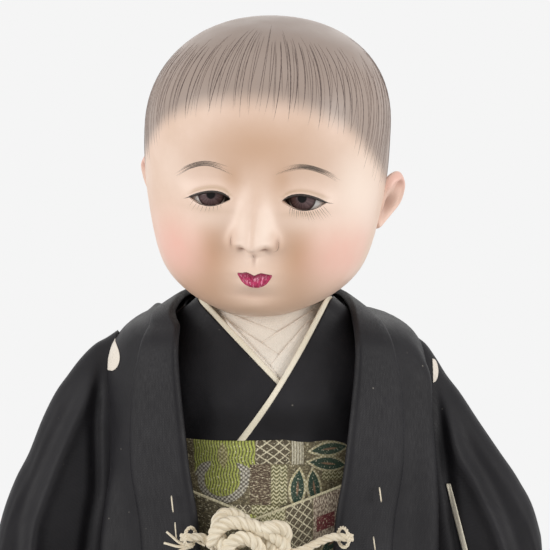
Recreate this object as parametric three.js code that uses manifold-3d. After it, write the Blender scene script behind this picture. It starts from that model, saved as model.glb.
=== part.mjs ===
// A standing ichimatsu doll of a boy: composition head, torso, forearms and legs under a shell-white coat,
// cloth upper arms, a squeeze voice in the belly, and formal dress of kimono, sash, pleated hakama and haori.
// Millimetres, +Z up, the face towards -Y, origin on the floor under the middle of the doll.
import * as THREE from "three";
import { mergeVertices } from "three/addons/utils/BufferGeometryUtils.js";
import Module from "manifold-3d";

const wasm = await Module();
wasm.setup();
const V = (x, y, z) => new THREE.Vector3(x, y, z);
const DEGREE = Math.PI / 180;

// Clearances
const GAP = 0.4; // between two rigid pieces that seat on each other
const CLOTH_GAP = 0.6; // between a layer of cloth and what it lies on

// Head
const HEAD_HALF_WIDTH = 40.7;
const HEAD_FRONT_DEPTH = 41.5;
const HEAD_BACK_DEPTH = 46;
const CROWN_RISE = 36.5; // crown above the widest level of the head
const JAW_DROP = 60; // underside of the jaw below that level
const WIDEST_LEVEL = 14; // the widest level above the head's centre
const HEAD_WALL = 5;
const HEAD_PITCH = 8; // degrees, face downwards
const HEAD_ROLL = 2.5; // degrees, the doll's left side lower
const HEAD_YAW = -7; // degrees, face towards the doll's right
const HEAD_SEAT = 52; // head's centre above the top of the torso
const HEAD_FORWARD = 6; // head's centre in front of the doll's middle
const EYE_SPACING = 32;
const EYE_LEVEL = -3.2; // eyes below the head's centre
const EYE_RADIUS = 8.6;
const EYE_DEPTH = 28.6; // eyeball's centre in front of the head's centre
const EYE_OPENING = 15; // width between the corners of the lids
const LID_OPENING = 5.4; // height between the lids
const PUTTY_RADIUS = 11.5;
const EAR_HEIGHT = 21;
const EAR_WIDTH = 12;
const EAR_THICKNESS = 5;
const EAR_LEVEL = -10;

// Neck
const NECK_BACK = 4; // neck's axis behind the doll's middle
const NECK_RADIUS = 12.5;
const NECK_LENGTH = 26;
const PEG_RADIUS = 8;
const PEG_LENGTH = 20;
const SOCKET_WALL = 4;
const SOCKET_FLANGE = 1.6;

// Torso and legs
const LEG_LENGTH = 160;
const TORSO_HEIGHT = 138;
const TORSO_WALL = 4;
const SHOULDER_HALF_WIDTH = 37;
const HIP_BLOCK_HEIGHT = 22;
const LEG_SPACING = 40;
const FOOT_SPACING = 48;
const THIGH_RADIUS = 17.5;
const KNEE_RADIUS = 13;
const ANKLE_RADIUS = 9.5;
const FOOT_HALF_WIDTH = 12;
const FOOT_HALF_LENGTH = 25;
const FOOT_FORWARD = 9; // middle of the foot in front of the ankle
const DOWEL_RADIUS = 5;
const DOWEL_LENGTH = 15;
const TABI_THICKNESS = 1.8;
const TABI_HEIGHT = 40;

// Squeeze voice in the belly
const VOICE_RISE = 62; // its axis above the hips
const VOICE_PAD_RADIUS = 11;
const VOICE_PAD_RECESS = 2; // pad behind the belly's surface
const VOICE_BOARD_WIDTH = 40;
const VOICE_BOARD_HEIGHT = 30;
const VOICE_BOARD_THICKNESS = 3;
const VOICE_FRONT = -5; // back face of the pressed board, in Y
const BELLOWS_LENGTH = 14;
const BELLOWS_RADIUS = 14;
const BELLOWS_WALL = 1;
const BELLOWS_FOLDS = 3;
const SPRING_RADIUS = 7;
const SPRING_WIRE = 1.2;
const SPRING_TURNS = 4;
const REED_RADIUS = 3;
const REED_LENGTH = 9;

// Arms
const SHOULDER_DROP = 22; // shoulder axis below the top of the torso
const SHOULDER_BACK = 4;
const SLEEVE_PLANE = 54; // where a sleeve meets the coat's side, from the doll's middle
const UPPER_ARM_RADIUS = 5.6;
const ARM_SPREAD = 39; // elbow out from the torso's side
const UPPER_ARM_DROP = 42; // elbow below the shoulder axis
const FOREARM_DROP = 31; // wrist below the elbow
const FOREARM_SPREAD = 14; // wrist out from the elbow
const FOREARM_FORWARD = 7; // wrist in front of the elbow
const FOREARM_RADIUS = 7.6;
const WRIST_RADIUS = 5.8;
const HAND_LENGTH = 25;
const PALM_HALF_WIDTH = 7.4;
const PALM_HALF_THICKNESS = 4.2;
const THUMB_RADIUS = 2.6;
const THUMB_LENGTH = 13;

// Dress
const KIMONO_THICKNESS = 1.6;
const KIMONO_DROP = 102; // from the top of the torso to the kimono's tucked edge
const NECKLINE_HALF_WIDTH = 20;
const NECKLINE_DEPTH = 24;
const COLLAR_THICKNESS = 0.9;
const COLLAR_RISE = -0.8; // above the top of the torso
const WHITE_COLLAR_WIDTH = 11;
const KIMONO_COLLAR_WIDTH = 13;
const CREAM_EDGE_WIDTH = 1.8;
const SASH_TOP = 103.5; // above the hips
const SASH_HEIGHT = 27;
const SASH_THICKNESS = 2.2;
const HAKAMA_TOP = 80; // above the hips
const HAKAMA_HEM = 22; // above the floor
const HAKAMA_THICKNESS = 1.8;
const HAKAMA_HEM_HALF_WIDTH = 53;
const HAKAMA_HEM_HALF_DEPTH = 43;
const HAKAMA_PLEATS = 6; // across the front
const PLEAT_DEPTH = 3.2;
const TIE_WIDTH = 11;
const TIE_THICKNESS = 1.4;
const BACK_BOARD_WIDTH = 44;
const BACK_BOARD_HEIGHT = 24;
const BACK_BOARD_THICKNESS = 2;
const HAORI_THICKNESS = 1.8;
const HAORI_HEM = 126; // above the floor
const HAORI_OPENING = 25; // front edge from the doll's middle, at the cord
const LAPEL_WIDTH = 15;
const LAPEL_THICKNESS = 1.4;
const SLEEVE_THICKNESS = 1.8;
const SLEEVE_REACH = 38; // from the coat's side to the cuff
const SLEEVE_HALF_DEPTH = 17;
const SLEEVE_DROP = 122; // height of the sleeve where it meets the coat
const CUFF_DROP = 64; // height of the cuff
const FOLD_DEPTH = 2.2;

// Coat cord
const CORD_DIAMETER = 3.2;
const KNOT_HALF_WIDTH = 11; // over the middles of the cord
const KNOT_HEIGHT = 16;
const KNOT_DEPTH = 2; // how far the cord weaves before and behind at each crossing
const KNOT_RISE = 64; // lowest strand above the hips
const KNOT_SIDE = -5; // from the doll's middle
const LOOP_RISE = 71.5; // above the hips
const LOOP_RADIUS = 3.2;
const LOOP_CORD = 1.4;
const TASSEL_LENGTH = 26;
const TASSEL_RADIUS = 3.2;

// Facets
const ROUND = 20;
const LEVELS = 8;

// Levels and places worked out from the sizes
const TORSO_TOP = LEG_LENGTH + TORSO_HEIGHT;
const HEAD_CENTRE = V(0, -HEAD_FORWARD, TORSO_TOP + HEAD_SEAT);
const SHOULDER_Z = TORSO_TOP - SHOULDER_DROP;
const VOICE_Z = LEG_LENGTH + VOICE_RISE;
const ELBOW = V(SHOULDER_HALF_WIDTH + ARM_SPREAD, 1, SHOULDER_Z - UPPER_ARM_DROP);
const WRIST = V(ELBOW.x + FOREARM_SPREAD, ELBOW.y - FOREARM_FORWARD, ELBOW.z - FOREARM_DROP);
const KIMONO_OUT = CLOTH_GAP + KIMONO_THICKNESS;
const SASH_OUT = KIMONO_OUT + CLOTH_GAP + SASH_THICKNESS;
const HAKAMA_OUT = SASH_OUT + CLOTH_GAP + HAKAMA_THICKNESS;

// Finishes
const finish = (color, roughness) => new THREE.MeshStandardMaterial({ color, roughness, metalness: 0 });
const GOFUN = finish(0xe6c9b0, 0.45);
const EYE_GLASS = finish(0x3a2c2c, 0.08);
const PUTTY = finish(0x9a8a70, 0.9);
const PAULOWNIA = finish(0xc9a878, 0.7);
const COMPOSITION = finish(0xb9a184, 0.8);
const STUFFED_COTTON = finish(0xe8dcc8, 0.9);
const BELLOWS_PAPER = finish(0xd8c9a4, 0.85);
const STEEL = new THREE.MeshStandardMaterial({ color: 0x8a8a88, roughness: 0.4, metalness: 1 });
const BRASS = new THREE.MeshStandardMaterial({ color: 0xb08d4a, roughness: 0.4, metalness: 1 });
const BLACK_SILK = finish(0x2e2e33, 0.6);
const WHITE_SILK = finish(0xe2d8ca, 0.7);
const CREAM_SILK = finish(0xd8ccae, 0.7);
const BROCADE = finish(0x8c8662, 0.55);
const WHITE_CORD = finish(0xeadfca, 0.75);
const TABI_COTTON = finish(0xf0ece4, 0.85);

const doll = new THREE.Group();
doll.name = "ichimatsu_doll";

// Closed surfaces and solids

function solidOf(geometry) {
  const bare = new THREE.BufferGeometry().setAttribute("position", geometry.getAttribute("position"));
  bare.setIndex(geometry.index);
  const merged = mergeVertices(bare, 1e-4);
  const vertProperties = new Float32Array(merged.attributes.position.array);
  const triVerts = new Uint32Array(merged.index.array);
  const made = new wasm.Manifold(new wasm.Mesh({ numProp: 3, vertProperties, triVerts }));
  if (made.volume() > 0) return made;
  for (let i = 0; i < triVerts.length; i += 3) {
    [triVerts[i + 1], triVerts[i + 2]] = [triVerts[i + 2], triVerts[i + 1]];
  }
  return new wasm.Manifold(new wasm.Mesh({ numProp: 3, vertProperties, triVerts }));
}

function geometryOf(solid) {
  const mesh = solid.simplify(0.02).getMesh();
  const geometry = new THREE.BufferGeometry();
  geometry.setAttribute("position", new THREE.BufferAttribute(new Float32Array(mesh.vertProperties), 3));
  geometry.setIndex(new THREE.BufferAttribute(new Uint32Array(mesh.triVerts), 1));
  geometry.computeVertexNormals();
  return geometry;
}

const cut = (from, ...cutters) => cutters.reduce((left, cutter) => left.subtract(cutter), from);
const moved = (geometry, matrix) => geometry.clone().applyMatrix4(matrix);

function add(name, solid, material, parent = doll) {
  const mesh = new THREE.Mesh(geometryOf(solid), material);
  mesh.name = name;
  parent.add(mesh);
  return mesh;
}

// A closed surface from points and triangles.
function closedSurface(points, triangles) {
  const geometry = new THREE.BufferGeometry().setFromPoints(points);
  geometry.setIndex(triangles);
  return geometry;
}

// Rings of equal count joined into a closed solid, with a flat fan at each end.
function loft(rings) {
  const count = rings[0].length;
  const points = rings.flat();
  const triangles = [];
  for (let r = 0; r + 1 < rings.length; r++) {
    for (let i = 0; i < count; i++) {
      const a = r * count + i;
      const b = r * count + ((i + 1) % count);
      triangles.push(a, b, b + count, a, b + count, a + count);
    }
  }
  for (const [start, turn] of [[0, 1], [(rings.length - 1) * count, -1]]) {
    const ring = points.slice(start, start + count);
    const middle = points.length;
    points.push(ring.reduce((sum, p) => sum.add(p), V(0, 0, 0)).divideScalar(count));
    for (let i = 0; i < count; i++) {
      const next = start + ((i + 1) % count);
      triangles.push(...(turn > 0 ? [middle, next, start + i] : [middle, start + i, next]));
    }
  }
  return solidOf(closedSurface(points, triangles));
}

// Cloth of one thickness on a surface(u, v), grown towards the side that inward points to.
function thickSheet(surface, thickness, across, along, { closed = false, inward = -1 } = {}) {
  const columns = closed ? across : across + 1;
  const step = 1e-3;
  const limit = (x) => Math.min(1, Math.max(0, x));
  const wrap = (u) => (closed ? u : limit(u));
  const layers = [[], []];
  for (let j = 0; j <= along; j++) {
    for (let i = 0; i < columns; i++) {
      const u = i / across;
      const v = j / along;
      const p = surface(u, v);
      const du = surface(wrap(u + step), v).sub(surface(wrap(u - step), v));
      const dv = surface(u, limit(v + step)).sub(surface(u, limit(v - step)));
      const normal = du.cross(dv).normalize().multiplyScalar(inward * thickness);
      layers[0].push(p);
      layers[1].push(p.clone().add(normal));
    }
  }
  const size = layers[0].length;
  const triangles = [];
  const quad = (a, b, c, d) => triangles.push(a, b, c, a, c, d);
  for (let j = 0; j < along; j++) {
    for (let i = 0; i < across; i++) {
      const a = j * columns + i;
      const b = j * columns + ((i + 1) % columns);
      quad(a, b, b + columns, a + columns);
      quad(a + size, a + columns + size, b + columns + size, b + size);
    }
    if (!closed) {
      const left = j * columns;
      const right = left + columns - 1;
      quad(left, left + columns, left + columns + size, left + size);
      quad(right + columns, right, right + size, right + columns + size);
    }
  }
  for (let i = 0; i < across; i++) {
    const a = i;
    const b = (i + 1) % columns;
    const top = along * columns;
    quad(b, a, a + size, b + size);
    quad(top + a, top + b, top + b + size, top + a + size);
  }
  return solidOf(closedSurface([...layers[0], ...layers[1]], triangles));
}

// A profile of [radius, height] pairs spun round +Z.
function spun(profile, segments = ROUND) {
  const points = profile.map(([r, z]) => new THREE.Vector2(r, z));
  return new THREE.LatheGeometry(points, segments).rotateX(Math.PI / 2);
}

// A round bar between two points.
function bar(radius, from, to, segments = ROUND) {
  const along = to.clone().sub(from);
  const geometry = new THREE.CylinderGeometry(radius, radius, along.length(), segments);
  const turn = new THREE.Quaternion().setFromUnitVectors(V(0, 1, 0), along.normalize());
  geometry.applyQuaternion(turn);
  const middle = from.clone().add(to).divideScalar(2);
  return geometry.translate(middle.x, middle.y, middle.z);
}

function block(low, high) {
  const size = high.clone().sub(low);
  const middle = high.clone().add(low).divideScalar(2);
  return new THREE.BoxGeometry(size.x, size.y, size.z).translate(middle.x, middle.y, middle.z);
}

const power = (value, exponent) => Math.sign(value) * Math.abs(value) ** exponent;

// A rounded ring in a level plane, squarer as the exponent rises above 2.
function levelRing(x, y, z, halfWidth, halfDepth, exponent = 2.2, count = ROUND) {
  return Array.from({ length: count }, (_, i) => {
    const angle = (2 * Math.PI * i) / count;
    const side = halfWidth * power(Math.sin(angle), 2 / exponent);
    return V(x + side, y - halfDepth * power(Math.cos(angle), 2 / exponent), z);
  });
}

// A limb along a path, with a half width across and a half depth at each point.
function limb(path, sizes, count = 18, side = V(0, 1, 0)) {
  return loft(
    path.map((p, i) => {
      const before = path[Math.max(0, i - 1)];
      const after = path[Math.min(path.length - 1, i + 1)];
      const along = after.clone().sub(before).normalize();
      const depth = side.clone().addScaledVector(along, -side.dot(along)).normalize();
      const width = along.clone().cross(depth);
      return Array.from({ length: count }, (_, k) => {
        const angle = (2 * Math.PI * k) / count;
        const out = width.clone().multiplyScalar(sizes[i][0] * Math.cos(angle));
        return p.clone().add(out.addScaledVector(depth, sizes[i][1] * Math.sin(angle)));
      });
    }),
  );
}

// A smooth table: rows of [level, values...] read at any level between the first and the last.
function table(rows) {
  const levels = rows.map((row) => row[0]);
  const values = rows.flatMap((row) => row.slice(1));
  const curve = new THREE.CubicInterpolant(levels, values, rows[0].length - 1);
  return (level) => [...curve.evaluate(Math.min(levels.at(-1), Math.max(levels[0], level)))];
}

const between = (a, b, t) => a + (b - a) * t;
const smooth = (x, low, high) => THREE.MathUtils.smoothstep(x, low, high);
const bump = (x, z, cx, cz, sx, sz) => Math.exp(-(((x - cx) / sx) ** 2) - ((z - cz) / sz) ** 2);

// Head

const headFrame = new THREE.Matrix4()
  .makeRotationFromEuler(new THREE.Euler(HEAD_PITCH * DEGREE, HEAD_ROLL * DEGREE, HEAD_YAW * DEGREE, "ZYX"))
  .setPosition(HEAD_CENTRE);
const toHead = headFrame.clone().invert();

function noseRelief(x, z) {
  const tip = -14;
  const rise = 1 - smooth(z, tip, 8);
  const under = smooth(z, -19, -15.5);
  const ridge = between(3.4, 4.6, rise);
  const bridge = 8.2 * rise ** 1.4 * under * Math.exp(-((x / ridge) ** 2));
  const wings = 2.9 * under * bump(Math.abs(x), z, 5.6, -15.5, 3, 3.2);
  return bridge + wings;
}

// How far the face stands out from the plain egg of the head, at x and z.
function faceRelief(x, z) {
  const side = Math.abs(x);
  const cheeks = 2.2 * bump(side, z, 21, -20, 12, 12);
  const sockets = -2.2 * bump(side, z, EYE_SPACING / 2 - 1, 2, 9, 6.5);
  const lids = 1.5 * bump(side, z, EYE_SPACING / 2, EYE_LEVEL, 7.5, 4.5);
  const muzzle = 2.2 * bump(x, z, 0, -28, 12, 8);
  const lips = 1.0 * bump(x, z, 0, -26.8, 5.5, 1.7) + 1.5 * bump(x, z, 0, -30.8, 4.6, 2.2);
  const chin = 2.0 * bump(x, z, 0, -39, 8, 4.5);
  return cheeks + sockets + lids + noseRelief(x, z) + muzzle + lips + chin;
}

// A point of the head at an angle round it, 0 at the face, and a height from -1 at the jaw to 1 at the crown.
function headPoint(angle, height, shrink, relief) {
  const rise = (height > 0 ? CROWN_RISE : JAW_DROP) - shrink;
  const z = WIDEST_LEVEL + rise * power(height, height > 0 ? 2 / 2.2 : 2 / 2.5);
  const level = Math.abs((z - WIDEST_LEVEL) / rise);
  const narrow = (exponent) => (1 - Math.min(1, level ** exponent)) ** (1 / exponent);
  const front = Math.cos(angle) > 0;
  const halfWidth = (HEAD_HALF_WIDTH - shrink) * narrow(height > 0 ? 2.2 : 2.5);
  const faceDepth = (HEAD_FRONT_DEPTH - shrink) * narrow(height > 0 ? 2.4 : 5);
  const napeDepth = (HEAD_BACK_DEPTH - shrink) * narrow(2.2);
  const x = halfWidth * power(Math.sin(angle), front ? 2 / 2.3 : 1);
  const y = -(front ? faceDepth : napeDepth) * power(Math.cos(angle), front ? 2 / 2.3 : 1);
  const facing = smooth(-y, 8, 26);
  return V(x, y - relief * facing * faceRelief(x, z), z);
}

function headEgg(shrink, relief, around, levels) {
  const rings = [];
  for (let j = 1; j < levels; j++) {
    const height = Math.sin(between(-Math.PI / 2, Math.PI / 2, j / levels));
    rings.push(
      Array.from({ length: around }, (_, i) => headPoint((2 * Math.PI * i) / around, height, shrink, relief)),
    );
  }
  return loft(rings);
}

const eyeCentre = (side) => V((side * EYE_SPACING) / 2, -EYE_DEPTH, EYE_LEVEL);

// The almond gap between the lids, as a bar that runs from the eyeball out through the face.
function lidGap(side) {
  const half = EYE_OPENING / 2;
  const almond = new THREE.Shape();
  almond.moveTo(-half, 0);
  almond.quadraticCurveTo(0, LID_OPENING * 1.1, half, 0);
  almond.quadraticCurveTo(0, -LID_OPENING * 0.9, -half, 0);
  const through = { depth: HEAD_FRONT_DEPTH, bevelEnabled: false, curveSegments: 8 };
  const geometry = new THREE.ExtrudeGeometry(almond, through);
  const centre = eyeCentre(side);
  return solidOf(geometry.rotateX(Math.PI / 2).translate(centre.x, centre.y, centre.z));
}

function ear(side) {
  const geometry = new THREE.SphereGeometry(0.5, 14, 10).rotateX(Math.PI / 2);
  geometry.scale(EAR_THICKNESS, EAR_WIDTH, EAR_HEIGHT);
  geometry.rotateZ(-side * 28 * DEGREE).rotateX(-8 * DEGREE);
  return solidOf(geometry.translate(side * (HEAD_HALF_WIDTH + 0.8), 7, EAR_LEVEL));
}

function buildHead() {
  const group = new THREE.Group();
  group.applyMatrix4(headFrame);
  doll.add(group);
  const egg = headEgg(0, 1, 36, 23);
  const hollow = headEgg(HEAD_WALL, 0, 16, 10);
  const neckTop = TORSO_TOP + NECK_LENGTH + GAP;
  const neckWay = bar(NECK_RADIUS + GAP, V(0, NECK_BACK, TORSO_TOP - NECK_LENGTH), V(0, NECK_BACK, neckTop));
  const eyePockets = [-1, 1].map((side) => {
    const centre = eyeCentre(side);
    const ball = new THREE.SphereGeometry(EYE_RADIUS + GAP, 14, 10);
    return solidOf(ball.translate(centre.x, centre.y, centre.z));
  });
  const shell = cut(egg, hollow, solidOf(moved(neckWay, toHead)), ...eyePockets, lidGap(-1), lidGap(1));
  const reach = 2 * (HEAD_HALF_WIDTH + CROWN_RISE + JAW_DROP);
  const frontHalf = solidOf(block(V(-reach, -reach, -reach), V(reach, -GAP / 2, reach)));
  const backHalf = solidOf(block(V(-reach, GAP / 2, -reach), V(reach, reach, reach)));
  const ears = cut(ear(-1).add(ear(1)), hollow, frontHalf);
  add("face_shell", shell.intersect(frontHalf), GOFUN, group);
  add("skull_shell", shell.intersect(backHalf).add(ears), GOFUN, group);
  for (const side of [-1, 1]) {
    const name = side > 0 ? "left" : "right";
    const centre = eyeCentre(side);
    const ball = new THREE.SphereGeometry(EYE_RADIUS, 14, 10).translate(centre.x, centre.y, centre.z);
    add(`${name}_glass_eye`, solidOf(ball), EYE_GLASS, group);
    const lump = new THREE.SphereGeometry(PUTTY_RADIUS, 12, 8).translate(centre.x, centre.y, centre.z);
    const bed = solidOf(lump).intersect(headEgg(HEAD_WALL + 2 * GAP, 0, 16, 10));
    const behind = block(V(-reach, centre.y + EYE_RADIUS * 0.2, -reach), V(reach, reach, reach));
    const pocket = new THREE.SphereGeometry(EYE_RADIUS + GAP, 14, 10).translate(centre.x, centre.y, centre.z);
    add(`${name}_eye_putty`, cut(bed, solidOf(pocket)).intersect(solidOf(behind)), PUTTY, group);
  }
}

function buildNeck() {
  const post = spun([
    [0, TORSO_TOP - PEG_LENGTH],
    [PEG_RADIUS, TORSO_TOP - PEG_LENGTH],
    [PEG_RADIUS, TORSO_TOP + SOCKET_FLANGE + GAP],
    [NECK_RADIUS, TORSO_TOP + SOCKET_FLANGE + GAP],
    [NECK_RADIUS, TORSO_TOP + NECK_LENGTH],
    [0, TORSO_TOP + NECK_LENGTH],
  ]);
  add("neck_post", solidOf(post.translate(0, NECK_BACK, 0)), PAULOWNIA);
  const bore = PEG_RADIUS + GAP;
  const socket = spun([
    [bore, TORSO_TOP - PEG_LENGTH],
    [bore + SOCKET_WALL, TORSO_TOP - PEG_LENGTH],
    [bore + SOCKET_WALL, TORSO_TOP + GAP],
    [bore + SOCKET_WALL + SOCKET_FLANGE, TORSO_TOP + GAP],
    [bore + SOCKET_WALL + SOCKET_FLANGE, TORSO_TOP + SOCKET_FLANGE],
    [bore, TORSO_TOP + SOCKET_FLANGE],
    [bore, TORSO_TOP - PEG_LENGTH],
  ]);
  add("neck_socket", solidOf(socket.translate(0, NECK_BACK, 0)), PAULOWNIA);
}

// Torso

// Half width, half depth and middle in Y of the bare torso, by height above the hips.
// The shoulders' rows follow the top of the torso.
const torsoAt = table([
  [0, 36, 24, 2],
  [15, 37, 26, 2],
  [35, 36.5, 27, 1],
  [60, 34.5, 26, 1],
  [85, 34.5, 25, 2],
  [TORSO_HEIGHT - 33, 36, 24, 3],
  [TORSO_HEIGHT - 18, SHOULDER_HALF_WIDTH, 21, 4],
  [TORSO_HEIGHT - 8, 31, 17, 4],
  [TORSO_HEIGHT - 2, 20, 14, 4],
  [TORSO_HEIGHT, 16.5, 12.5, 4],
]);

// A point of the torso at an angle from the front and a height z, grown by ease on every side.
function torsoPoint(angle, z, ease) {
  const [halfWidth, halfDepth, middle] = torsoAt(z - LEG_LENGTH);
  const x = (halfWidth + ease) * power(Math.sin(angle), 2 / 2.2);
  const y = middle - (halfDepth + ease) * power(Math.cos(angle), 2 / 2.2);
  return V(x, y, z + ease * smooth(z, TORSO_TOP - 17, TORSO_TOP - 5));
}

// Heights from low to high, closer together towards the shoulders.
const rising = (low, high, t) => between(low, high, 1 - (1 - t) ** 1.7);

function torsoLoft(low, high, ease, steps) {
  const ring = (z) => Array.from({ length: ROUND }, (_, i) => torsoPoint((2 * Math.PI * i) / ROUND, z, ease));
  return loft(Array.from({ length: steps + 1 }, (_, i) => ring(rising(low, high, i / steps))));
}

function buildTorso() {
  const reach = 4 * TORSO_HEIGHT;
  const outside = torsoLoft(LEG_LENGTH, TORSO_TOP, 0, LEVELS + 4);
  const hollow = torsoLoft(LEG_LENGTH - TORSO_WALL, TORSO_TOP, -TORSO_WALL, LEVELS);
  const socketWay = bar(
    PEG_RADIUS + SOCKET_WALL + 2 * GAP,
    V(0, NECK_BACK, TORSO_TOP - PEG_LENGTH - GAP),
    V(0, NECK_BACK, TORSO_TOP + PEG_LENGTH),
  );
  const padWay = bar(VOICE_PAD_RADIUS + GAP, V(0, -reach, VOICE_Z), V(0, 0, VOICE_Z));
  const shell = cut(outside, hollow, solidOf(socketWay), solidOf(padWay));
  const split = torsoAt(0)[2];
  const frontHalf = solidOf(block(V(-reach, -reach, 0), V(reach, split - GAP / 2, reach)));
  const backHalf = solidOf(block(V(-reach, split + GAP / 2, 0), V(reach, reach, reach)));
  add("torso_front_shell", shell.intersect(frontHalf), COMPOSITION);
  add("torso_back_shell", shell.intersect(backHalf), COMPOSITION);

  const blockTop = LEG_LENGTH + HIP_BLOCK_HEIGHT;
  const inside = torsoLoft(LEG_LENGTH, blockTop, -TORSO_WALL - 3 * GAP, LEVELS / 2);
  const dowelWays = [-1, 1].map((side) => {
    const x = (side * LEG_SPACING) / 2;
    return solidOf(bar(DOWEL_RADIUS + GAP, V(x, 2, 0), V(x, 2, LEG_LENGTH + DOWEL_LENGTH + GAP)));
  });
  add("hip_block", cut(inside, ...dowelWays), PAULOWNIA);
}

function buildLeg(side) {
  const name = side > 0 ? "left" : "right";
  const hip = (side * LEG_SPACING) / 2;
  const foot = (side * FOOT_SPACING) / 2;
  const sole = TABI_THICKNESS + GAP;
  // Rings from the sole up: height, x, y, half width, half depth
  const rows = [
    [sole, foot, -FOOT_FORWARD, FOOT_HALF_WIDTH, FOOT_HALF_LENGTH],
    [sole + 5, foot, -FOOT_FORWARD, FOOT_HALF_WIDTH + 0.6, FOOT_HALF_LENGTH + 0.8],
    [sole + 12, foot, -FOOT_FORWARD / 2, FOOT_HALF_WIDTH - 0.5, FOOT_HALF_LENGTH - 8],
    [sole + 20, foot, 1, ANKLE_RADIUS + 0.5, ANKLE_RADIUS + 2],
    [TABI_HEIGHT - 8, foot, 2, ANKLE_RADIUS, ANKLE_RADIUS],
    [TABI_HEIGHT + 2, foot, 2, ANKLE_RADIUS, ANKLE_RADIUS],
    [LEG_LENGTH * 0.42, between(foot, hip, 0.5), 3, KNEE_RADIUS + 1, KNEE_RADIUS + 1.5],
    [LEG_LENGTH * 0.58, between(foot, hip, 0.7), 2, KNEE_RADIUS, KNEE_RADIUS],
    [LEG_LENGTH * 0.8, hip, 2, THIGH_RADIUS - 1.5, THIGH_RADIUS - 0.5],
    [LEG_LENGTH - GAP, hip, 2, THIGH_RADIUS, THIGH_RADIUS],
  ];
  const grown = (grow, [z, x, y, w, d]) => levelRing(x, y, z, w + grow, d + grow, 2.2, 14);
  const rings = (grow, list) => list.map((row) => grown(grow, row));
  const leg = loft(rings(0, rows));
  const dowel = bar(DOWEL_RADIUS, V(hip, 2, LEG_LENGTH - 2), V(hip, 2, LEG_LENGTH + DOWEL_LENGTH), 16);
  add(`${name}_leg`, leg.add(solidOf(dowel)), GOFUN);
  const socked = rows.filter(([z]) => z < TABI_HEIGHT);
  const [, x, y, w, d] = rows[0];
  const outside = [[0, x, y, w, d], ...socked.slice(1), [TABI_HEIGHT, ...rows[4].slice(1)]];
  const inside = [...socked, [TABI_HEIGHT + 1, ...rows[4].slice(1)]];
  const room = [[rows[0][0] - GAP, ...rows[0].slice(1)], ...inside.slice(1)];
  add(`${name}_tabi`, cut(loft(rings(TABI_THICKNESS + GAP, outside)), loft(rings(GAP, room))), TABI_COTTON);
}

// Squeeze voice

function spunAlongY(profile, z, segments = ROUND) {
  const points = profile.map(([r, y]) => new THREE.Vector2(r, y));
  return solidOf(new THREE.LatheGeometry(points, segments).translate(0, 0, z));
}

function buildVoice() {
  const half = VOICE_BOARD_WIDTH / 2;
  const low = VOICE_Z - VOICE_BOARD_HEIGHT / 2;
  const high = VOICE_Z + VOICE_BOARD_HEIGHT / 2;
  const boardFront = VOICE_FRONT - VOICE_BOARD_THICKNESS;
  const [, bellyDepth, bellyMiddle] = torsoAt(VOICE_RISE);
  const padFront = V(0, bellyMiddle - bellyDepth + VOICE_PAD_RECESS, VOICE_Z);
  const pad = bar(VOICE_PAD_RADIUS, padFront, V(0, VOICE_FRONT - 1, VOICE_Z));
  const board = solidOf(block(V(-half, boardFront, low), V(half, VOICE_FRONT, high)));
  add("voice_press_board", board.add(solidOf(pad)), PAULOWNIA);

  const back = VOICE_FRONT + BELLOWS_LENGTH;
  const fold = (BELLOWS_LENGTH - 2 * GAP) / (2 * BELLOWS_FOLDS);
  const outer = Array.from({ length: 2 * BELLOWS_FOLDS + 1 }, (_, i) => [
    BELLOWS_RADIUS - (i % 2 ? 0 : 2),
    VOICE_FRONT + GAP + i * fold,
  ]);
  const inner = outer.map(([r, y]) => [r - BELLOWS_WALL, y]).reverse();
  add("voice_bellows", spunAlongY([...outer, ...inner, outer[0]], VOICE_Z, 18), BELLOWS_PAPER);

  const springRoom = BELLOWS_LENGTH - 2 * GAP - SPRING_WIRE;
  class Coil extends THREE.Curve {
    getPoint(t) {
      const angle = 2 * Math.PI * SPRING_TURNS * t;
      const y = VOICE_FRONT + GAP + SPRING_WIRE / 2 + springRoom * t;
      return V(SPRING_RADIUS * Math.cos(angle), y, VOICE_Z + SPRING_RADIUS * Math.sin(angle));
    }
  }
  const wire = new THREE.Shape().absarc(0, 0, SPRING_WIRE / 2, 0, 2 * Math.PI);
  const steps = 8 * SPRING_TURNS;
  const coil = new THREE.ExtrudeGeometry(wire, { steps, extrudePath: new Coil(), curveSegments: 3 });
  console.log(`voice_spring: gap between turns ${(springRoom / SPRING_TURNS - SPRING_WIRE).toFixed(2)} mm`);
  add("voice_spring", solidOf(coil), STEEL);

  const room = torsoLoft(low - 1, high + 1, -TORSO_WALL - GAP, LEVELS / 2);
  const seat = block(V(-half, back, low), V(half, back + TORSO_HEIGHT, high));
  const behindReed = V(0, back + REED_LENGTH + GAP, VOICE_Z);
  const reedWay = bar(REED_RADIUS + GAP, V(0, back - 1, VOICE_Z), behindReed, 16);
  add("voice_back_block", cut(solidOf(seat).intersect(room), solidOf(reedWay)), PAULOWNIA);
  const reed = bar(REED_RADIUS, V(0, back + GAP, VOICE_Z), V(0, back + REED_LENGTH, VOICE_Z), 16);
  const boreEnd = V(0, back + REED_LENGTH * 0.7, VOICE_Z);
  const reedBore = bar(REED_RADIUS * 0.5, V(0, back - 1, VOICE_Z), boreEnd, 12);
  add("voice_reed", cut(solidOf(reed), solidOf(reedBore)), BRASS);
}

// Arms

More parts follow.
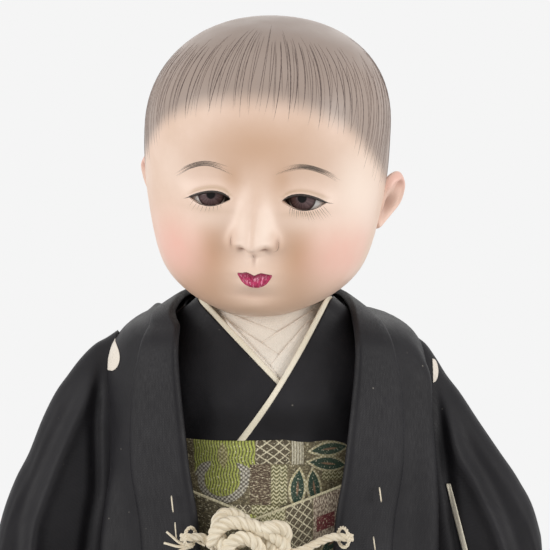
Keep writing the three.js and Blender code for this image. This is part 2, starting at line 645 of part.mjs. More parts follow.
function buildArm(side) {
  const name = side > 0 ? "left" : "right";
  const at = (p) => V(side * p.x, p.y, p.z);
  const root = SHOULDER_HALF_WIDTH + CLOTH_GAP;
  const shoulder = (x) => V(x, SHOULDER_BACK, SHOULDER_Z);
  const along = WRIST.clone().sub(ELBOW).normalize();
  const on = (p, far) => p.clone().addScaledVector(along, far);
  const bend = V(SLEEVE_PLANE + 6.5, SHOULDER_BACK, SHOULDER_Z - 8.5);
  const path = [shoulder(root), shoulder(root + 8), shoulder(SLEEVE_PLANE + 1), bend];
  const points = [...path, bend.clone().lerp(ELBOW, 0.5), on(ELBOW, -3), ELBOW].map(at);
  const radii = [0, 0.2, 0, 0, 0.6, 0.6, 0.4].map((more) => UPPER_ARM_RADIUS + more);
  const sizes = radii.map((radius) => [radius, radius]);
  add(`${name}_upper_arm`, limb(points, sizes), STUFFED_COTTON);

  const start = on(ELBOW, GAP);
  const armPath = [start, on(start, 6), start.clone().lerp(WRIST, 0.5), WRIST];
  const armRadii = [FOREARM_RADIUS - 1.2, FOREARM_RADIUS, FOREARM_RADIUS - 0.4, WRIST_RADIUS];
  const armSizes = armRadii.map((radius) => [radius, radius]);
  const handPath = [0.2, 0.45, 0.75, 0.95, 1].map((share) => on(WRIST, HAND_LENGTH * share));
  const shares = [0.95, 1, 0.9, 0.62, 0.3];
  const handSizes = shares.map((k) => [PALM_HALF_WIDTH * k, PALM_HALF_THICKNESS * (k + 0.1)]);
  const across = V(1, 0, 0);
  const palm = limb([...armPath, ...handPath].map(at), [...armSizes, ...handSizes], 18, across);
  const thumbRoot = on(WRIST, HAND_LENGTH * 0.2).add(V(0, -PALM_HALF_WIDTH * 0.5, 0));
  const thumbLean = V(0, -PALM_HALF_WIDTH * 0.6, 0);
  const thumbTip = thumbRoot.clone().addScaledVector(along, THUMB_LENGTH).add(thumbLean);
  const thumbPath = [thumbRoot, thumbRoot.clone().lerp(thumbTip, 0.6), thumbTip].map(at);
  const thumbSizes = [THUMB_RADIUS, THUMB_RADIUS, 1].map((radius) => [radius, radius]);
  const thumb = limb(thumbPath, thumbSizes, 12, across);
  add(`${name}_forearm`, palm.add(thumb), GOFUN);
}

// Kimono and collars

function buildKimono() {
  const reach = 4 * TORSO_HEIGHT;
  const low = TORSO_TOP - KIMONO_DROP;
  const surface = (u, v) => torsoPoint(2 * Math.PI * u, rising(low, TORSO_TOP - 3, v), KIMONO_OUT);
  const tube = thickSheet(surface, KIMONO_THICKNESS, ROUND, LEVELS, { closed: true, inward: -1 });
  const neckline = new THREE.Shape([
    new THREE.Vector2(-NECKLINE_HALF_WIDTH, TORSO_TOP + KIMONO_OUT + 1),
    new THREE.Vector2(0, TORSO_TOP - NECKLINE_DEPTH),
    new THREE.Vector2(NECKLINE_HALF_WIDTH, TORSO_TOP + KIMONO_OUT + 1),
  ]);
  const front = new THREE.ExtrudeGeometry(neckline, { depth: reach, bevelEnabled: false });
  front.rotateX(Math.PI / 2);
  const armholes = bar(
    UPPER_ARM_RADIUS + 2 * CLOTH_GAP,
    V(-reach, SHOULDER_BACK, SHOULDER_Z),
    V(reach, SHOULDER_BACK, SHOULDER_Z),
  );
  const neckRing = (z) => levelRing(0, NECK_BACK, z, NECKLINE_HALF_WIDTH + 8, NECKLINE_HALF_WIDTH + 4);
  const neckHole = loft([neckRing(TORSO_TOP - 14), neckRing(TORSO_TOP + NECK_LENGTH)]);
  add("kimono_body", cut(tube, solidOf(front), solidOf(armholes), neckHole), BLACK_SILK);
}

// A point on the dressed chest at x and z, out from the kimono by lift.
function chestPoint(x, z, lift) {
  const [halfWidth, halfDepth, middle] = torsoAt(Math.min(z, TORSO_TOP) - LEG_LENGTH);
  const out = KIMONO_OUT + lift;
  const share = Math.min(0.985, Math.abs(x) / (halfWidth + out));
  const y = middle - (halfDepth + out) * (1 - share ** 2.2) ** (1 / 2.2);
  return V(x, y, z + lift * smooth(z, TORSO_TOP - 17, TORSO_TOP - 3));
}

// A collar's edge from the back of the neck, over the shoulder and straight down the chest.
// The edge lies aside from the neckline by a distance, and it rises from the kimono by lift.
function collarEdge(side, aside, lift, foot) {
  const top = new THREE.Vector2(NECKLINE_HALF_WIDTH, TORSO_TOP + COLLAR_RISE);
  const end = new THREE.Vector2(foot.x, foot.z);
  const down = end.clone().sub(top).normalize();
  const shift = new THREE.Vector2(-down.y, down.x).multiplyScalar(aside);
  const points = [];
  for (const share of [0, 0.25, 0.5, 0.75, 1]) {
    const place = top.clone().lerp(end, share).add(shift);
    const flatter = 0.26 * aside * smooth(0.3 - share, 0, 0.3);
    const p = chestPoint(place.x, place.y + flatter, lift);
    points.push(V(side * p.x, p.y, p.z));
  }
  const behind = NECK_BACK + NECKLINE_HALF_WIDTH + lift;
  const low = TORSO_TOP + COLLAR_RISE + 1 + lift - aside * 0.6;
  const lean = aside * 0.42;
  const nape = V(0, behind + lean, low);
  const shoulder = V(side * (NECKLINE_HALF_WIDTH * 0.72 + lift + lean), behind * 0.72, low);
  return new THREE.CatmullRomCurve3([nape, shoulder, ...points], false, "centripetal");
}

function collarBand(side, from, to, lift, thickness, foot, steps = 14) {
  const inner = collarEdge(side, from, lift, foot);
  const outer = collarEdge(side, to, lift, foot);
  const surface = (u, v) => inner.getPoint(v).lerp(outer.getPoint(v), u);
  const reach = 4 * TORSO_HEIGHT;
  const sashTop = LEG_LENGTH + SASH_TOP + CLOTH_GAP;
  const below = block(V(-reach, -reach, 0), V(reach, reach, sashTop));
  return cut(thickSheet(surface, thickness, 1, steps, { inward: side }), solidOf(below));
}

function buildCollars() {
  const layer = COLLAR_THICKNESS + CLOTH_GAP;
  const chestFoot = { x: -10, z: LEG_LENGTH + SASH_TOP };
  const throatFoot = { x: -7, z: LEG_LENGTH + SASH_TOP + 14 };
  let lift = CLOTH_GAP + GAP / 2;
  for (const side of [-1, 1]) {
    const name = side > 0 ? "left" : "right";
    const top = lift + COLLAR_THICKNESS;
    const band = collarBand(side, -3.5, WHITE_COLLAR_WIDTH - 3.5, top, COLLAR_THICKNESS, throatFoot);
    add(`white_collar_${name}`, band, WHITE_SILK);
    lift += layer;
  }
  lift += CLOTH_GAP;
  for (const side of [-1, 1]) {
    const name = side > 0 ? "left" : "right";
    const top = lift + COLLAR_THICKNESS;
    const seam = CREAM_EDGE_WIDTH + GAP;
    const foot = side > 0 ? chestFoot : { x: -6, z: chestFoot.z };
    const cream = collarBand(side, 0, CREAM_EDGE_WIDTH, top, COLLAR_THICKNESS, foot);
    const black = collarBand(side, seam, seam + KIMONO_COLLAR_WIDTH, top, COLLAR_THICKNESS, foot);
    add(`cream_collar_edge_${name}`, cream, CREAM_SILK);
    add(`kimono_collar_${name}`, black, BLACK_SILK);
    lift += layer;
  }
}

// Sash and hakama

function waistSheet(low, high, out, thickness, from, to, steps) {
  const surface = (u, v) => torsoPoint(between(from, to, u), between(low, high, v), out);
  return thickSheet(surface, thickness, steps, 2, { closed: to - from > 6.28 });
}

function buildSash() {
  const top = LEG_LENGTH + SASH_TOP;
  add("sash", waistSheet(top - SASH_HEIGHT, top, SASH_OUT, SASH_THICKNESS, 0, 2 * Math.PI, 28), BROCADE);
}

const HAKAMA_TOP_Z = LEG_LENGTH + HAKAMA_TOP;

// A point of the hakama at an angle from the front, a height z and the depth of a fold there.
function hakamaPoint(angle, z, fold) {
  const [halfWidth, halfDepth, middle] = torsoAt(z - LEG_LENGTH);
  const flare = ((HAKAMA_TOP_Z - Math.min(HAKAMA_TOP_Z, z)) / (HAKAMA_TOP_Z - HAKAMA_HEM)) ** 0.9;
  const wide = between(halfWidth + HAKAMA_OUT, HAKAMA_HEM_HALF_WIDTH, flare) + fold;
  const deep = between(halfDepth + HAKAMA_OUT, HAKAMA_HEM_HALF_DEPTH, flare) + fold;
  const square = 2 / 2.3;
  return V(wide * power(Math.sin(angle), square), middle - deep * power(Math.cos(angle), square), z);
}

function buildHakama() {
  const top = HAKAMA_TOP_Z;
  const surface = (u, v) => {
    const angle = 2 * Math.PI * u;
    const facing = smooth(Math.cos(angle), 0.1, 0.5);
    const count = (HAKAMA_PLEATS * angle) / 2.2;
    const pleat = PLEAT_DEPTH * smooth(v, 0.08, 0.5) * facing * (count - Math.floor(count));
    const behind = 0.5 * PLEAT_DEPTH * smooth(v, 0.05, 0.6) * (1 - facing) * (1 + Math.cos(9 * angle));
    return hakamaPoint(angle, between(top, HAKAMA_HEM, v), pleat + behind);
  };
  add("hakama", thickSheet(surface, HAKAMA_THICKNESS, 56, 4, { closed: true, inward: 1 }), BROCADE);

  const layer = CLOTH_GAP + TIE_THICKNESS;
  const middle = top - TIE_WIDTH / 2 - 7;
  [-1, 1].forEach((side, i) => {
    const name = side > 0 ? "left" : "right";
    const tie = (u, v) => {
      const z = middle + side * 6 * (2 * u - 1) + between(-TIE_WIDTH / 2, TIE_WIDTH / 2, v);
      return hakamaPoint(between(-0.62, 0.62, u), z, layer * (i + 1) - GAP / 2);
    };
    add(`hakama_tie_${name}`, thickSheet(tie, TIE_THICKNESS, 12, 2), BROCADE);
  });

  const boardLow = top + CLOTH_GAP;
  const wide = Math.asin(BACK_BOARD_WIDTH / 2 / (torsoAt(HAKAMA_TOP)[0] + SASH_OUT));
  const board = waistSheet(
    boardLow,
    boardLow + BACK_BOARD_HEIGHT,
    SASH_OUT + CLOTH_GAP + BACK_BOARD_THICKNESS,
    BACK_BOARD_THICKNESS,
    Math.PI - wide,
    Math.PI + wide,
    10,
  );
  add("hakama_back_board", board, BROCADE);
}

// Haori: the crested coat

// Half width, half depth, middle in Y and fall of the front below the sides, by height below the neck.
const haoriAt = table([
  [0, 28, 31, 4, 3],
  [2, 31.5, 32.5, 4, 3],
  [4.5, 38.5, 34, 4, 2.5],
  [9, 46.5, 36, 3.5, 1.6],
  [14.5, 51.5, 37.5, 3, 0.8],
  [20, SLEEVE_PLANE - GAP, 38.5, 3, 0.3],
  [38, SLEEVE_PLANE - GAP, 40.5, 2, 0],
  [75, SLEEVE_PLANE - GAP, 43, 2, 0],
  [125, SLEEVE_PLANE - GAP, 48, 2, 0],
  [180, SLEEVE_PLANE - GAP, 52, 2, 0],
]);
const HAORI_NECK = TORSO_TOP + 8;

// A point of the coat at an angle from the front and a drop below the neck, lifted outwards.
function haoriPoint(angle, drop, lift) {
  const [halfWidth, halfDepth, middle, fall] = haoriAt(drop);
  const side = power(Math.sin(angle), 2 / 2.5);
  const ahead = power(Math.cos(angle), 2 / 2.5);
  const hang = smooth(drop, 45, 120);
  const fold = FOLD_DEPTH * hang * Math.cos(11 * angle) * (0.4 + 0.6 * Math.abs(Math.cos(angle)));
  const y = middle - (halfDepth + lift + fold) * ahead;
  const z = HAORI_NECK - drop - fall * Math.cos(angle) + lift * smooth(20 - drop, 0, 20);
  return V((halfWidth + lift) * side, y, z);
}

// The angle at which the coat's front edge lies a distance from the doll's middle.
function openingAngle(drop, x) {
  const share = Math.min(0.97, x / haoriAt(drop)[0]);
  return Math.asin(share ** (2.5 / 2));
}

function buildHaori() {
  const reach = 4 * TORSO_HEIGHT;
  const length = HAORI_NECK - HAORI_HEM;
  const drop = (v) => length * v ** 1.5;
  const edge = (v) => between(HAORI_OPENING + 2, HAORI_OPENING - 1, smooth(v, 0.2, 0.9));
  const surface = (u, v) => {
    const start = openingAngle(drop(v), edge(v));
    return haoriPoint(between(start, 2 * Math.PI - start, u), drop(v), 0);
  };
  const coat = thickSheet(surface, HAORI_THICKNESS, 32, 8, { inward: 1 });
  const armholes = bar(
    UPPER_ARM_RADIUS + 4 * CLOTH_GAP,
    V(-reach, SHOULDER_BACK, SHOULDER_Z),
    V(reach, SHOULDER_BACK, SHOULDER_Z),
  );
  const sleeveRoom = [-1, 1].map((side) => {
    const near = V(side * (SLEEVE_PLANE - GAP / 2), -reach, 0);
    const far = V(side * reach, reach, reach);
    return solidOf(block(near.clone().min(far), near.clone().max(far)));
  });
  add("haori_body", cut(coat, solidOf(armholes), ...sleeveRoom), BLACK_SILK);

  const lift = CLOTH_GAP + LAPEL_THICKNESS;
  for (const side of [-1, 1]) {
    const name = side > 0 ? "left" : "right";
    const lapel = (u, v) => {
      const share = between(0.12, 0.995, v);
      const reached = drop(share);
      const inner = openingAngle(reached, edge(share) - 1);
      const outer = openingAngle(reached, edge(share) - 1 + LAPEL_WIDTH * smooth(v, -0.3, 0.25));
      const p = haoriPoint(between(inner, outer, u), reached, lift);
      return V(side * p.x, p.y, p.z);
    };
    add(`haori_lapel_${name}`, thickSheet(lapel, LAPEL_THICKNESS, 3, 16, { inward: side }), BLACK_SILK);
  }
  const nape = (u, v) => {
    const angle = between(Math.PI * 0.6, Math.PI * 1.4, u);
    return haoriPoint(angle, between(0, 6, v), LAPEL_THICKNESS + GAP / 4);
  };
  add("haori_neckband", thickSheet(nape, LAPEL_THICKNESS, 20, 2, { inward: 1 }), BLACK_SILK);
}

// Top of a sleeve by distance out from the coat's side, below the height where the coat meets it.
const sleeveFall = table([
  [0, 0],
  [0.12, 3.4],
  [0.256, 10],
  [0.436, 19.5],
  [0.651, 34],
  [0.795, 45],
  [0.9, 55],
  [1, 66],
]);

function buildSleeve(side) {
  const name = side > 0 ? "left" : "right";
  const reach = 4 * TORSO_HEIGHT;
  const seamTop = SHOULDER_Z + UPPER_ARM_RADIUS + 5.5;
  const cuffTop = seamTop - sleeveFall(1)[0];
  const surface = (u, v) => {
    const angle = 2 * Math.PI * u;
    const top = seamTop - sleeveFall(v)[0];
    const low = between(seamTop - SLEEVE_DROP, cuffTop - CUFF_DROP, v) - 3 * Math.sin(Math.PI * v);
    const hang = smooth(-Math.cos(angle), -0.7, 0.7);
    const depth = between(SLEEVE_HALF_DEPTH, SLEEVE_HALF_DEPTH - 1, v) * between(1, 0.7, hang);
    const fold = FOLD_DEPTH * Math.sin(3 * Math.PI * v + 0.6) * Math.sin(angle) ** 2 * hang;
    const x = SLEEVE_PLANE - 1 + (SLEEVE_REACH + 1) * v;
    const y = between(SHOULDER_BACK, WRIST.y, v) + depth * power(Math.sin(angle), 0.85) + fold;
    return V(side * x, y, between(low, top, (1 + power(Math.cos(angle), 0.85)) / 2));
  };
  const tube = thickSheet(surface, SLEEVE_THICKNESS, 18, 6, { closed: true, inward: -side });
  const near = V(-side * reach, -reach, 0);
  const far = V(side * (SLEEVE_PLANE + GAP / 2), reach, reach);
  const coatSide = solidOf(block(near.clone().min(far), near.clone().max(far)));
  add(`haori_sleeve_${name}`, cut(tube, coatSide), BLACK_SILK);
}

// Coat cord with its knot, loops and tassels

// Where a lapel's cord loop hangs, just in front of the lapel.
function loopPlace(side) {
  const z = LEG_LENGTH + LOOP_RISE;
  const lift = LAPEL_THICKNESS + 2 * CLOTH_GAP + LOOP_CORD / 2 + LOOP_RADIUS;
  const angle = openingAngle(HAORI_NECK - z, HAORI_OPENING);
  const p = haoriPoint(angle, HAORI_NECK - z, lift);
  return V(side * HAORI_OPENING, p.y, z);
}

// How far the cord weaves to the back at each place of the knot.
const knotWeave = table([
  [-2.3, 0],
  [-1.932, 1],
  [-1.732, -1],
  [-0.518, 1],
  [0.518, -1],
  [1.732, 1],
  [1.932, -1],
  [2.3, 0],
]);

// The coat's cord: from one loop, through an overhand knot with two lobes up, to the other loop.
function cordPath() {
  const ends = [-1, 1].map((side) => loopPlace(side));
  const points = [];
  for (let i = 0; i <= 40; i++) {
    const t = between(-1.97, 1.97, i / 40);
    const x = KNOT_SIDE + (KNOT_HALF_WIDTH / 2) * (t ** 3 - 3 * t);
    const z = LEG_LENGTH + KNOT_RISE - (KNOT_HEIGHT / 4) * (t ** 4 - 4 * t ** 2);
    points.push(V(x, ends[0].y + KNOT_DEPTH * knotWeave(t)[0], z));
  }
  const arm = (side) => [-4, 0, 3].map((far) => ends[(side + 1) / 2].clone().add(V(side * far, 0, 0)));
  return new THREE.CatmullRomCurve3([...arm(-1).reverse(), ...points, ...arm(1)], false, "centripetal");
}

function leastGap(points, apart) {
  let least = Infinity;
  points.forEach((p, i) => {
    for (let j = i + apart; j < points.length; j++) least = Math.min(least, p.distanceTo(points[j]));
  });
  return least;
}

function buildCord() {
  const path = cordPath();
  const round = new THREE.Shape().absarc(0, 0, CORD_DIAMETER / 2, 0, 2 * Math.PI);
  const tube = new THREE.ExtrudeGeometry(round, { steps: 60, extrudePath: path, curveSegments: 3 });
  const gap = leastGap(path.getSpacedPoints(400), 30) - CORD_DIAMETER;
  console.log(`coat_cord: least gap to itself ${gap.toFixed(2)} mm`);
  add("coat_cord", solidOf(tube), WHITE_CORD);
  for (const side of [-1, 1]) {
    const name = side > 0 ? "left" : "right";
    const place = loopPlace(side);
    const loop = new THREE.TorusGeometry(LOOP_RADIUS, LOOP_CORD / 2, 5, 18).rotateY(Math.PI / 2);
    add(`cord_loop_${name}`, solidOf(loop.translate(place.x, place.y, place.z)), CREAM_SILK);
    const top = LEG_LENGTH + KNOT_RISE - CORD_DIAMETER / 2 - GAP;
    const waist = TASSEL_RADIUS * 0.6;
    const tassel = spun([
      [0, top - TASSEL_LENGTH],
      [TASSEL_RADIUS, top - TASSEL_LENGTH],
      [TASSEL_RADIUS * 0.9, top - TASSEL_LENGTH * 0.5],
      [waist, top - TASSEL_LENGTH * 0.22],
      [TASSEL_RADIUS * 0.85, top - TASSEL_LENGTH * 0.12],
      [waist, top],
      [0, top],
    ], 12);
    const x = KNOT_SIDE + side * (TASSEL_RADIUS + GAP / 2);
    add(`cord_tassel_${name}`, solidOf(tassel.translate(x, place.y, 0)), WHITE_CORD);
  }
}

buildHead();
buildNeck();
buildTorso();
for (const side of [-1, 1]) {
  buildLeg(side);
  buildArm(side);
  buildSleeve(side);
}
buildVoice();
buildKimono();
buildCollars();
buildSash();
buildHakama();
buildHaori();
buildCord();

export default doll;
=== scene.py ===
"""Looks of a standing ichimatsu doll of a boy in formal dress, built round its fixed frame."""
import math
import random

import bmesh
import bpy
import numpy as np
from mathutils import Euler, Matrix, Vector


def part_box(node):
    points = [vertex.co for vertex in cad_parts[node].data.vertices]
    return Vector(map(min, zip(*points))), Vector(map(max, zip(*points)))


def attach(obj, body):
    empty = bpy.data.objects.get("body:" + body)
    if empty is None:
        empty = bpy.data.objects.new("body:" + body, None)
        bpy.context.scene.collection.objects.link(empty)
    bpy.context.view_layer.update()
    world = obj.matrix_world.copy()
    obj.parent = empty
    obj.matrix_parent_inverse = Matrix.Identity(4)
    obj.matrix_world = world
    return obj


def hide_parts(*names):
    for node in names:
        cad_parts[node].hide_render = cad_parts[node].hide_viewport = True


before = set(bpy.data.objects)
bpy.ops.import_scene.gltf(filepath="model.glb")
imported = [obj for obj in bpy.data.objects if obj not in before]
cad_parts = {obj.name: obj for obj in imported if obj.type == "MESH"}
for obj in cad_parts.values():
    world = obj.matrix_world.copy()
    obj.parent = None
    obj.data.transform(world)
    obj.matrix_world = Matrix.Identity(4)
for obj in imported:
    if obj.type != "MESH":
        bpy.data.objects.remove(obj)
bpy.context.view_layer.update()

bl_info = {
    "name": "Ichimatsu doll",
    "version": (1, 0, 0),
    "blender": (4, 5, 0),
    "location": "View3D > Sidebar > Doll",
    "description": "Builds the looks of a dressed ichimatsu doll round its frame",
    "category": "Object",
}

MM = 0.001
SIDES = ((1, "left"), (-1, "right"))
FLAT_MAP = "UVMap"


# Numbers

def srgb(red, green, blue):
    """A colour read off a swatch, 0 to 255, as the light values that Blender takes."""
    parts = [part / 255 for part in (red, green, blue)]
    return tuple(part / 12.92 if part <= 0.04045 else ((part + 0.055) / 1.055) ** 2.4 for part in parts)


def smooth(value, low, high):
    """A soft step from 0 at low to 1 at high."""
    share = np.clip((value - low) / (high - low), 0, 1)
    return share * share * (3 - 2 * share)


def power(value, exponent):
    """A power that keeps the sign."""
    return np.sign(value) * np.abs(value) ** exponent


def hump(value, middle, width):
    """A soft bump of height 1 along one direction."""
    return np.exp(-((value - middle) / width) ** 2)


def mound(x, z, at_x, at_z, wide, tall):
    """A soft bump of height 1 at one spot."""
    return np.exp(-((x - at_x) / wide) ** 2 - ((z - at_z) / tall) ** 2)


def mounds(rows, x, z):
    """The sum of several bumps, each row with its height, place and size."""
    return sum(height * mound(x, z, *spot) for height, *spot in rows)


def unit(vectors):
    """The same directions with a length of 1."""
    return vectors / np.linalg.norm(vectors, axis=-1, keepdims=True)


def run_along(points):
    """How far along a line each of its points lies."""
    return np.concatenate([[0], np.cumsum(np.linalg.norm(np.diff(points, axis=0), axis=1))])


def steps(count, shares, values):
    """So many even steps along straight stretches between values at given shares."""
    return np.interp(np.linspace(0, 1, count), shares, values)


def table(rows):
    """Smooth columns of numbers against a level."""
    levels = np.array([row[0] for row in rows], float)
    values = np.array([row[1:] for row in rows], float)
    slopes = np.gradient(values, levels, axis=0)

    def read(level):
        level = np.clip(np.asarray(level, float), levels[0], levels[-1])
        row = np.clip(np.searchsorted(levels, level, side="right") - 1, 0, len(levels) - 2)
        step = (levels[row + 1] - levels[row])[..., None]
        t = (level - levels[row])[..., None] / step
        out = ((2 * t**3 - 3 * t**2 + 1) * values[row] + (t**3 - 2 * t**2 + t) * step * slopes[row]
               + (3 * t**2 - 2 * t**3) * values[row + 1] + (t**3 - t**2) * step * slopes[row + 1])
        return np.moveaxis(out, -1, 0)
    return read


def smooth_line(points, count):
    """Evenly spaced points on a smooth line through the given ones."""
    points = np.asarray(points, float)
    marks = np.concatenate([[0], np.cumsum(np.linalg.norm(np.diff(points, axis=0), axis=1) ** 0.5)])
    read = table([(mark, *point) for mark, point in zip(marks, points)])
    fine = np.stack(read(np.linspace(0, marks[-1], 40 * len(points))), -1)
    run = run_along(fine)
    even = np.linspace(0, run[-1], count)
    return np.stack([np.interp(even, run, fine[:, axis]) for axis in range(fine.shape[1])], -1)


# Shapes

def lay_grid(shape, surface, across, along, flat, joined=False):
    """Lay a grid on surface(u, v), given in mm, with a flat map in metres; join the edges that meet."""
    made = bmesh.ops.create_grid(shape, x_segments=across, y_segments=along, size=1.0)["verts"]
    flat_map = shape.loops.layers.uv.get(FLAT_MAP) or shape.loops.layers.uv.new(FLAT_MAP)
    for face in {face for vert in made for face in vert.link_faces}:
        for corner in face.loops:
            place = corner.vert.co
            corner[flat_map].uv = ((place.x + 1) / 2 * flat[0], (place.y + 1) / 2 * flat[1])
    u = np.array([(vert.co.x + 1) / 2 for vert in made])
    v = np.array([(vert.co.y + 1) / 2 for vert in made])
    for vert, point in zip(made, np.stack(np.broadcast_arrays(*surface(u, v)), -1)):
        vert.co = Vector(point) * MM
    if joined:
        bmesh.ops.remove_doubles(shape, verts=made, dist=2e-6)


def line_frames(points):
    """Two directions across a line that don't twist along it."""
    ahead = unit(np.gradient(np.asarray(points, float), axis=0))
    sides = [unit(np.cross(ahead[0], (0, 1, 0) if abs(ahead[0][1]) < 0.9 else (1, 0, 0)))]
    for direction in ahead[1:]:
        sides.append(unit(sides[-1] - direction * np.dot(sides[-1], direction)))
    sides = np.array(sides)
    return sides, np.cross(ahead, sides)


def lay_bar(shape, points, radius, sides, flat=(0.01, 0.1)):
    """A round bar along points in mm, closed at both ends."""
    points = np.asarray(points, float)
    radius = np.broadcast_to(np.asarray(radius, float), len(points))
    side, over = line_frames(points)
    points, side, over = [np.concatenate([rows[:1], rows, rows[-1:]]) for rows in (points, side, over)]
    radius = np.concatenate([[0], radius, [0]])

    def surface(u, v):
        row = np.rint(v * (len(points) - 1)).astype(int)
        turn = -2 * np.pi * u[:, None]
        return (points[row] + radius[row, None] * (np.cos(turn) * side[row] + np.sin(turn) * over[row])).T
    lay_grid(shape, surface, sides, len(points) - 1, flat, joined=True)


def turned(degrees, axis):
    return Matrix.Rotation(math.radians(degrees), 4, axis)


def move(shape, matrix):
    bmesh.ops.transform(shape, matrix=matrix, verts=shape.verts[:])


def mirror(shape):
    bmesh.ops.scale(shape, vec=(-1, 1, 1), verts=shape.verts[:])


def flip(shape):
    bmesh.ops.reverse_faces(shape, faces=shape.faces[:])


def face_out(shape):
    bmesh.ops.recalc_face_normals(shape, faces=shape.faces[:])


def vert_places(shape):
    """The x, y and z of all vertices."""
    return np.array([vert.co for vert in shape.verts]).T


def mark_verts(shape, marks):
    """Give every vertex its share of each named mark, for the finish to read."""
    for name, values in marks.items():
        layer = shape.verts.layers.float.new(name)
        for vert, value in zip(shape.verts, values):
            vert[layer] = value


def move_flat_map(shape, across, along, stretch=1.0):
    """Shift the flat map, in metres, so that the woven pattern falls in its place."""
    flat_map = shape.loops.layers.uv[FLAT_MAP]
    for face in shape.faces:
        for corner in face.loops:
            u, v = corner[flat_map].uv
            corner[flat_map].uv = (across + stretch * u, along + v)


def make_piece(name, shape, finish_name, body, stands_for=(), thickness=0.0, rounding=0):
    """Turn a shape into a piece that rides on a body and stands for CAD nodes."""
    mesh = bpy.data.meshes.new(name)
    shape.to_mesh(mesh)
    shape.free()
    mesh.shade_smooth()
    mesh.materials.append(finish(finish_name))
    piece = bpy.data.objects.new(name, mesh)
    bpy.context.scene.collection.objects.link(piece)
    if thickness:
        wall = piece.modifiers.new("cloth thickness", "SOLIDIFY")
        wall.thickness = thickness * MM
        wall.offset = -1
    if rounding:
        soft = piece.modifiers.new("soft edges", "SUBSURF")
        soft.levels = soft.render_levels = rounding
    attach(piece, body)
    if stands_for:
        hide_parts(*stands_for)
    return piece


# Finishes

class Nodes:
    """Short ways to add shader nodes to one tree."""

    def __init__(self, tree):
        self.tree = tree

    def add(self, kind, inputs=None, **settings):
        made = self.tree.nodes.new(kind)
        for name, value in settings.items():
            setattr(made, name, value)
        self.fill(made.inputs, inputs or {})
        return made

    def fill(self, sockets, values):
        for key, value in values.items():
            self.join(value, sockets[key])

    def join(self, value, socket):
        if isinstance(value, bpy.types.NodeSocket):
            self.tree.links.new(value, socket)
        elif socket.type == "RGBA":
            socket.default_value = (*value[:3], 1.0)
        else:
            socket.default_value = value

    def math(self, operation, first, second=0.0, third=0.0):
        return self.add("ShaderNodeMath", {0: first, 1: second, 2: third}, operation=operation).outputs[0]

    def plus(self, first, second):
        return self.math("ADD", first, second)

    def minus(self, first, second):
        return self.math("SUBTRACT", first, second)

    def times(self, first, second):
        return self.math("MULTIPLY", first, second)

    def most(self, first, second):
        return self.math("MAXIMUM", first, second)

    def size(self, value):
        return self.math("ABSOLUTE", value)

    def wave(self, value, rate):
        return self.math("SINE", self.times(value, rate))

    def blend(self, share, first, second, way="MIX"):
        return self.add("ShaderNodeMix", {0: share, 6: first, 7: second},
                        data_type="RGBA", blend_type=way).outputs[2]

    def rise(self, value, low, high, start=0.0, end=1.0):
        return self.add("ShaderNodeMapRange", {0: value, 1: low, 2: high, 3: start, 4: end},
                        interpolation_type="SMOOTHSTEP").outputs[0]

    def noise(self, where, scale, detail=2.0, roughness=0.5):
        return self.add("ShaderNodeTexNoise", {"Vector": where, "Scale": scale, "Detail": detail,
                                               "Roughness": roughness}).outputs[0]

    def streaks(self, where, scale, detail=2.0, roughness=0.5):
        stretched = self.add("ShaderNodeMapping", {"Vector": where, "Scale": scale}).outputs[0]
        return self.noise(stretched, 1.0, detail, roughness)

    def axes(self, where):
        return self.add("ShaderNodeSeparateXYZ", {0: where}).outputs

    def mark(self, name):
        return self.add("ShaderNodeAttribute", attribute_name=name).outputs["Fac"]

    def flat(self):
        return self.add("ShaderNodeUVMap", uv_map=FLAT_MAP).outputs[0]

    def place(self):
        return self.add("ShaderNodeTexCoord").outputs["Object"]

    def bump(self, height, strength, distance):
        return self.add("ShaderNodeBump", {"Height": height, "Strength": strength,
                                           "Distance": distance}).outputs[0]

    def shared(self, group, **inputs):
        return self.add("ShaderNodeGroup", inputs, node_tree=group).outputs


def shared_group(name, inputs, outputs, fill):
    """A node group by name, made and filled the first time it is asked for."""
    made = bpy.data.node_groups.get(name)
    if made:
        return made
    made = bpy.data.node_groups.new(name, "ShaderNodeTree")
    for way, sockets in (("INPUT", inputs), ("OUTPUT", outputs)):
        for label, kind in sockets.items():
            made.interface.new_socket(label, in_out=way, socket_type=f"NodeSocket{kind}")
    nodes = Nodes(made)
    given = made.nodes.new("NodeGroupInput").outputs
    nodes.fill(made.nodes.new("NodeGroupOutput").inputs, fill(nodes, given))
    return made


def silk_weave(nodes, given):
    """Threads that pass over and under each other on the flat map."""
    axes = nodes.axes(given["Flat"])
    warp, weft = [nodes.times(axes[way], given["Threads"]) for way in (0, 1)]
    crown = [nodes.size(nodes.wave(thread, math.pi)) for thread in (warp, weft)]
    count = nodes.plus(nodes.math("FLOOR", warp), nodes.math("FLOOR", weft))
    over = nodes.size(nodes.math("MODULO", count, 2.0))
    under = nodes.minus(1.0, over)
    return {"Height": nodes.plus(nodes.times(over, crown[0]), nodes.times(under, crown[1])),
            "Fleck": nodes.streaks(given["Flat"], (2600, 260, 1))}


def cloth_age(nodes, given):
    """Slow fading and specks of lint on old cloth."""
    place = given["Place"]
    spots = nodes.add("ShaderNodeTexVoronoi", {"Vector": place, "Scale": 260.0}).outputs["Distance"]
    rare = nodes.rise(nodes.noise(place, 120.0, 1.0), 0.60, 0.66)
    return {"Fade": nodes.rise(nodes.noise(place, 45.0, 4.0, 0.6), 0.3, 0.75),
            "Lint": nodes.times(nodes.rise(spots, 0.11, 0.04), rare)}


def shell_white(nodes, given):
    """The brushed and polished mottling of shell white."""
    return {"Tone": nodes.rise(nodes.noise(given["Place"], 60.0, 5.0, 0.6), 0.25, 0.8),
            "Grain": nodes.noise(given["Place"], 900.0, 3.0, 0.6)}


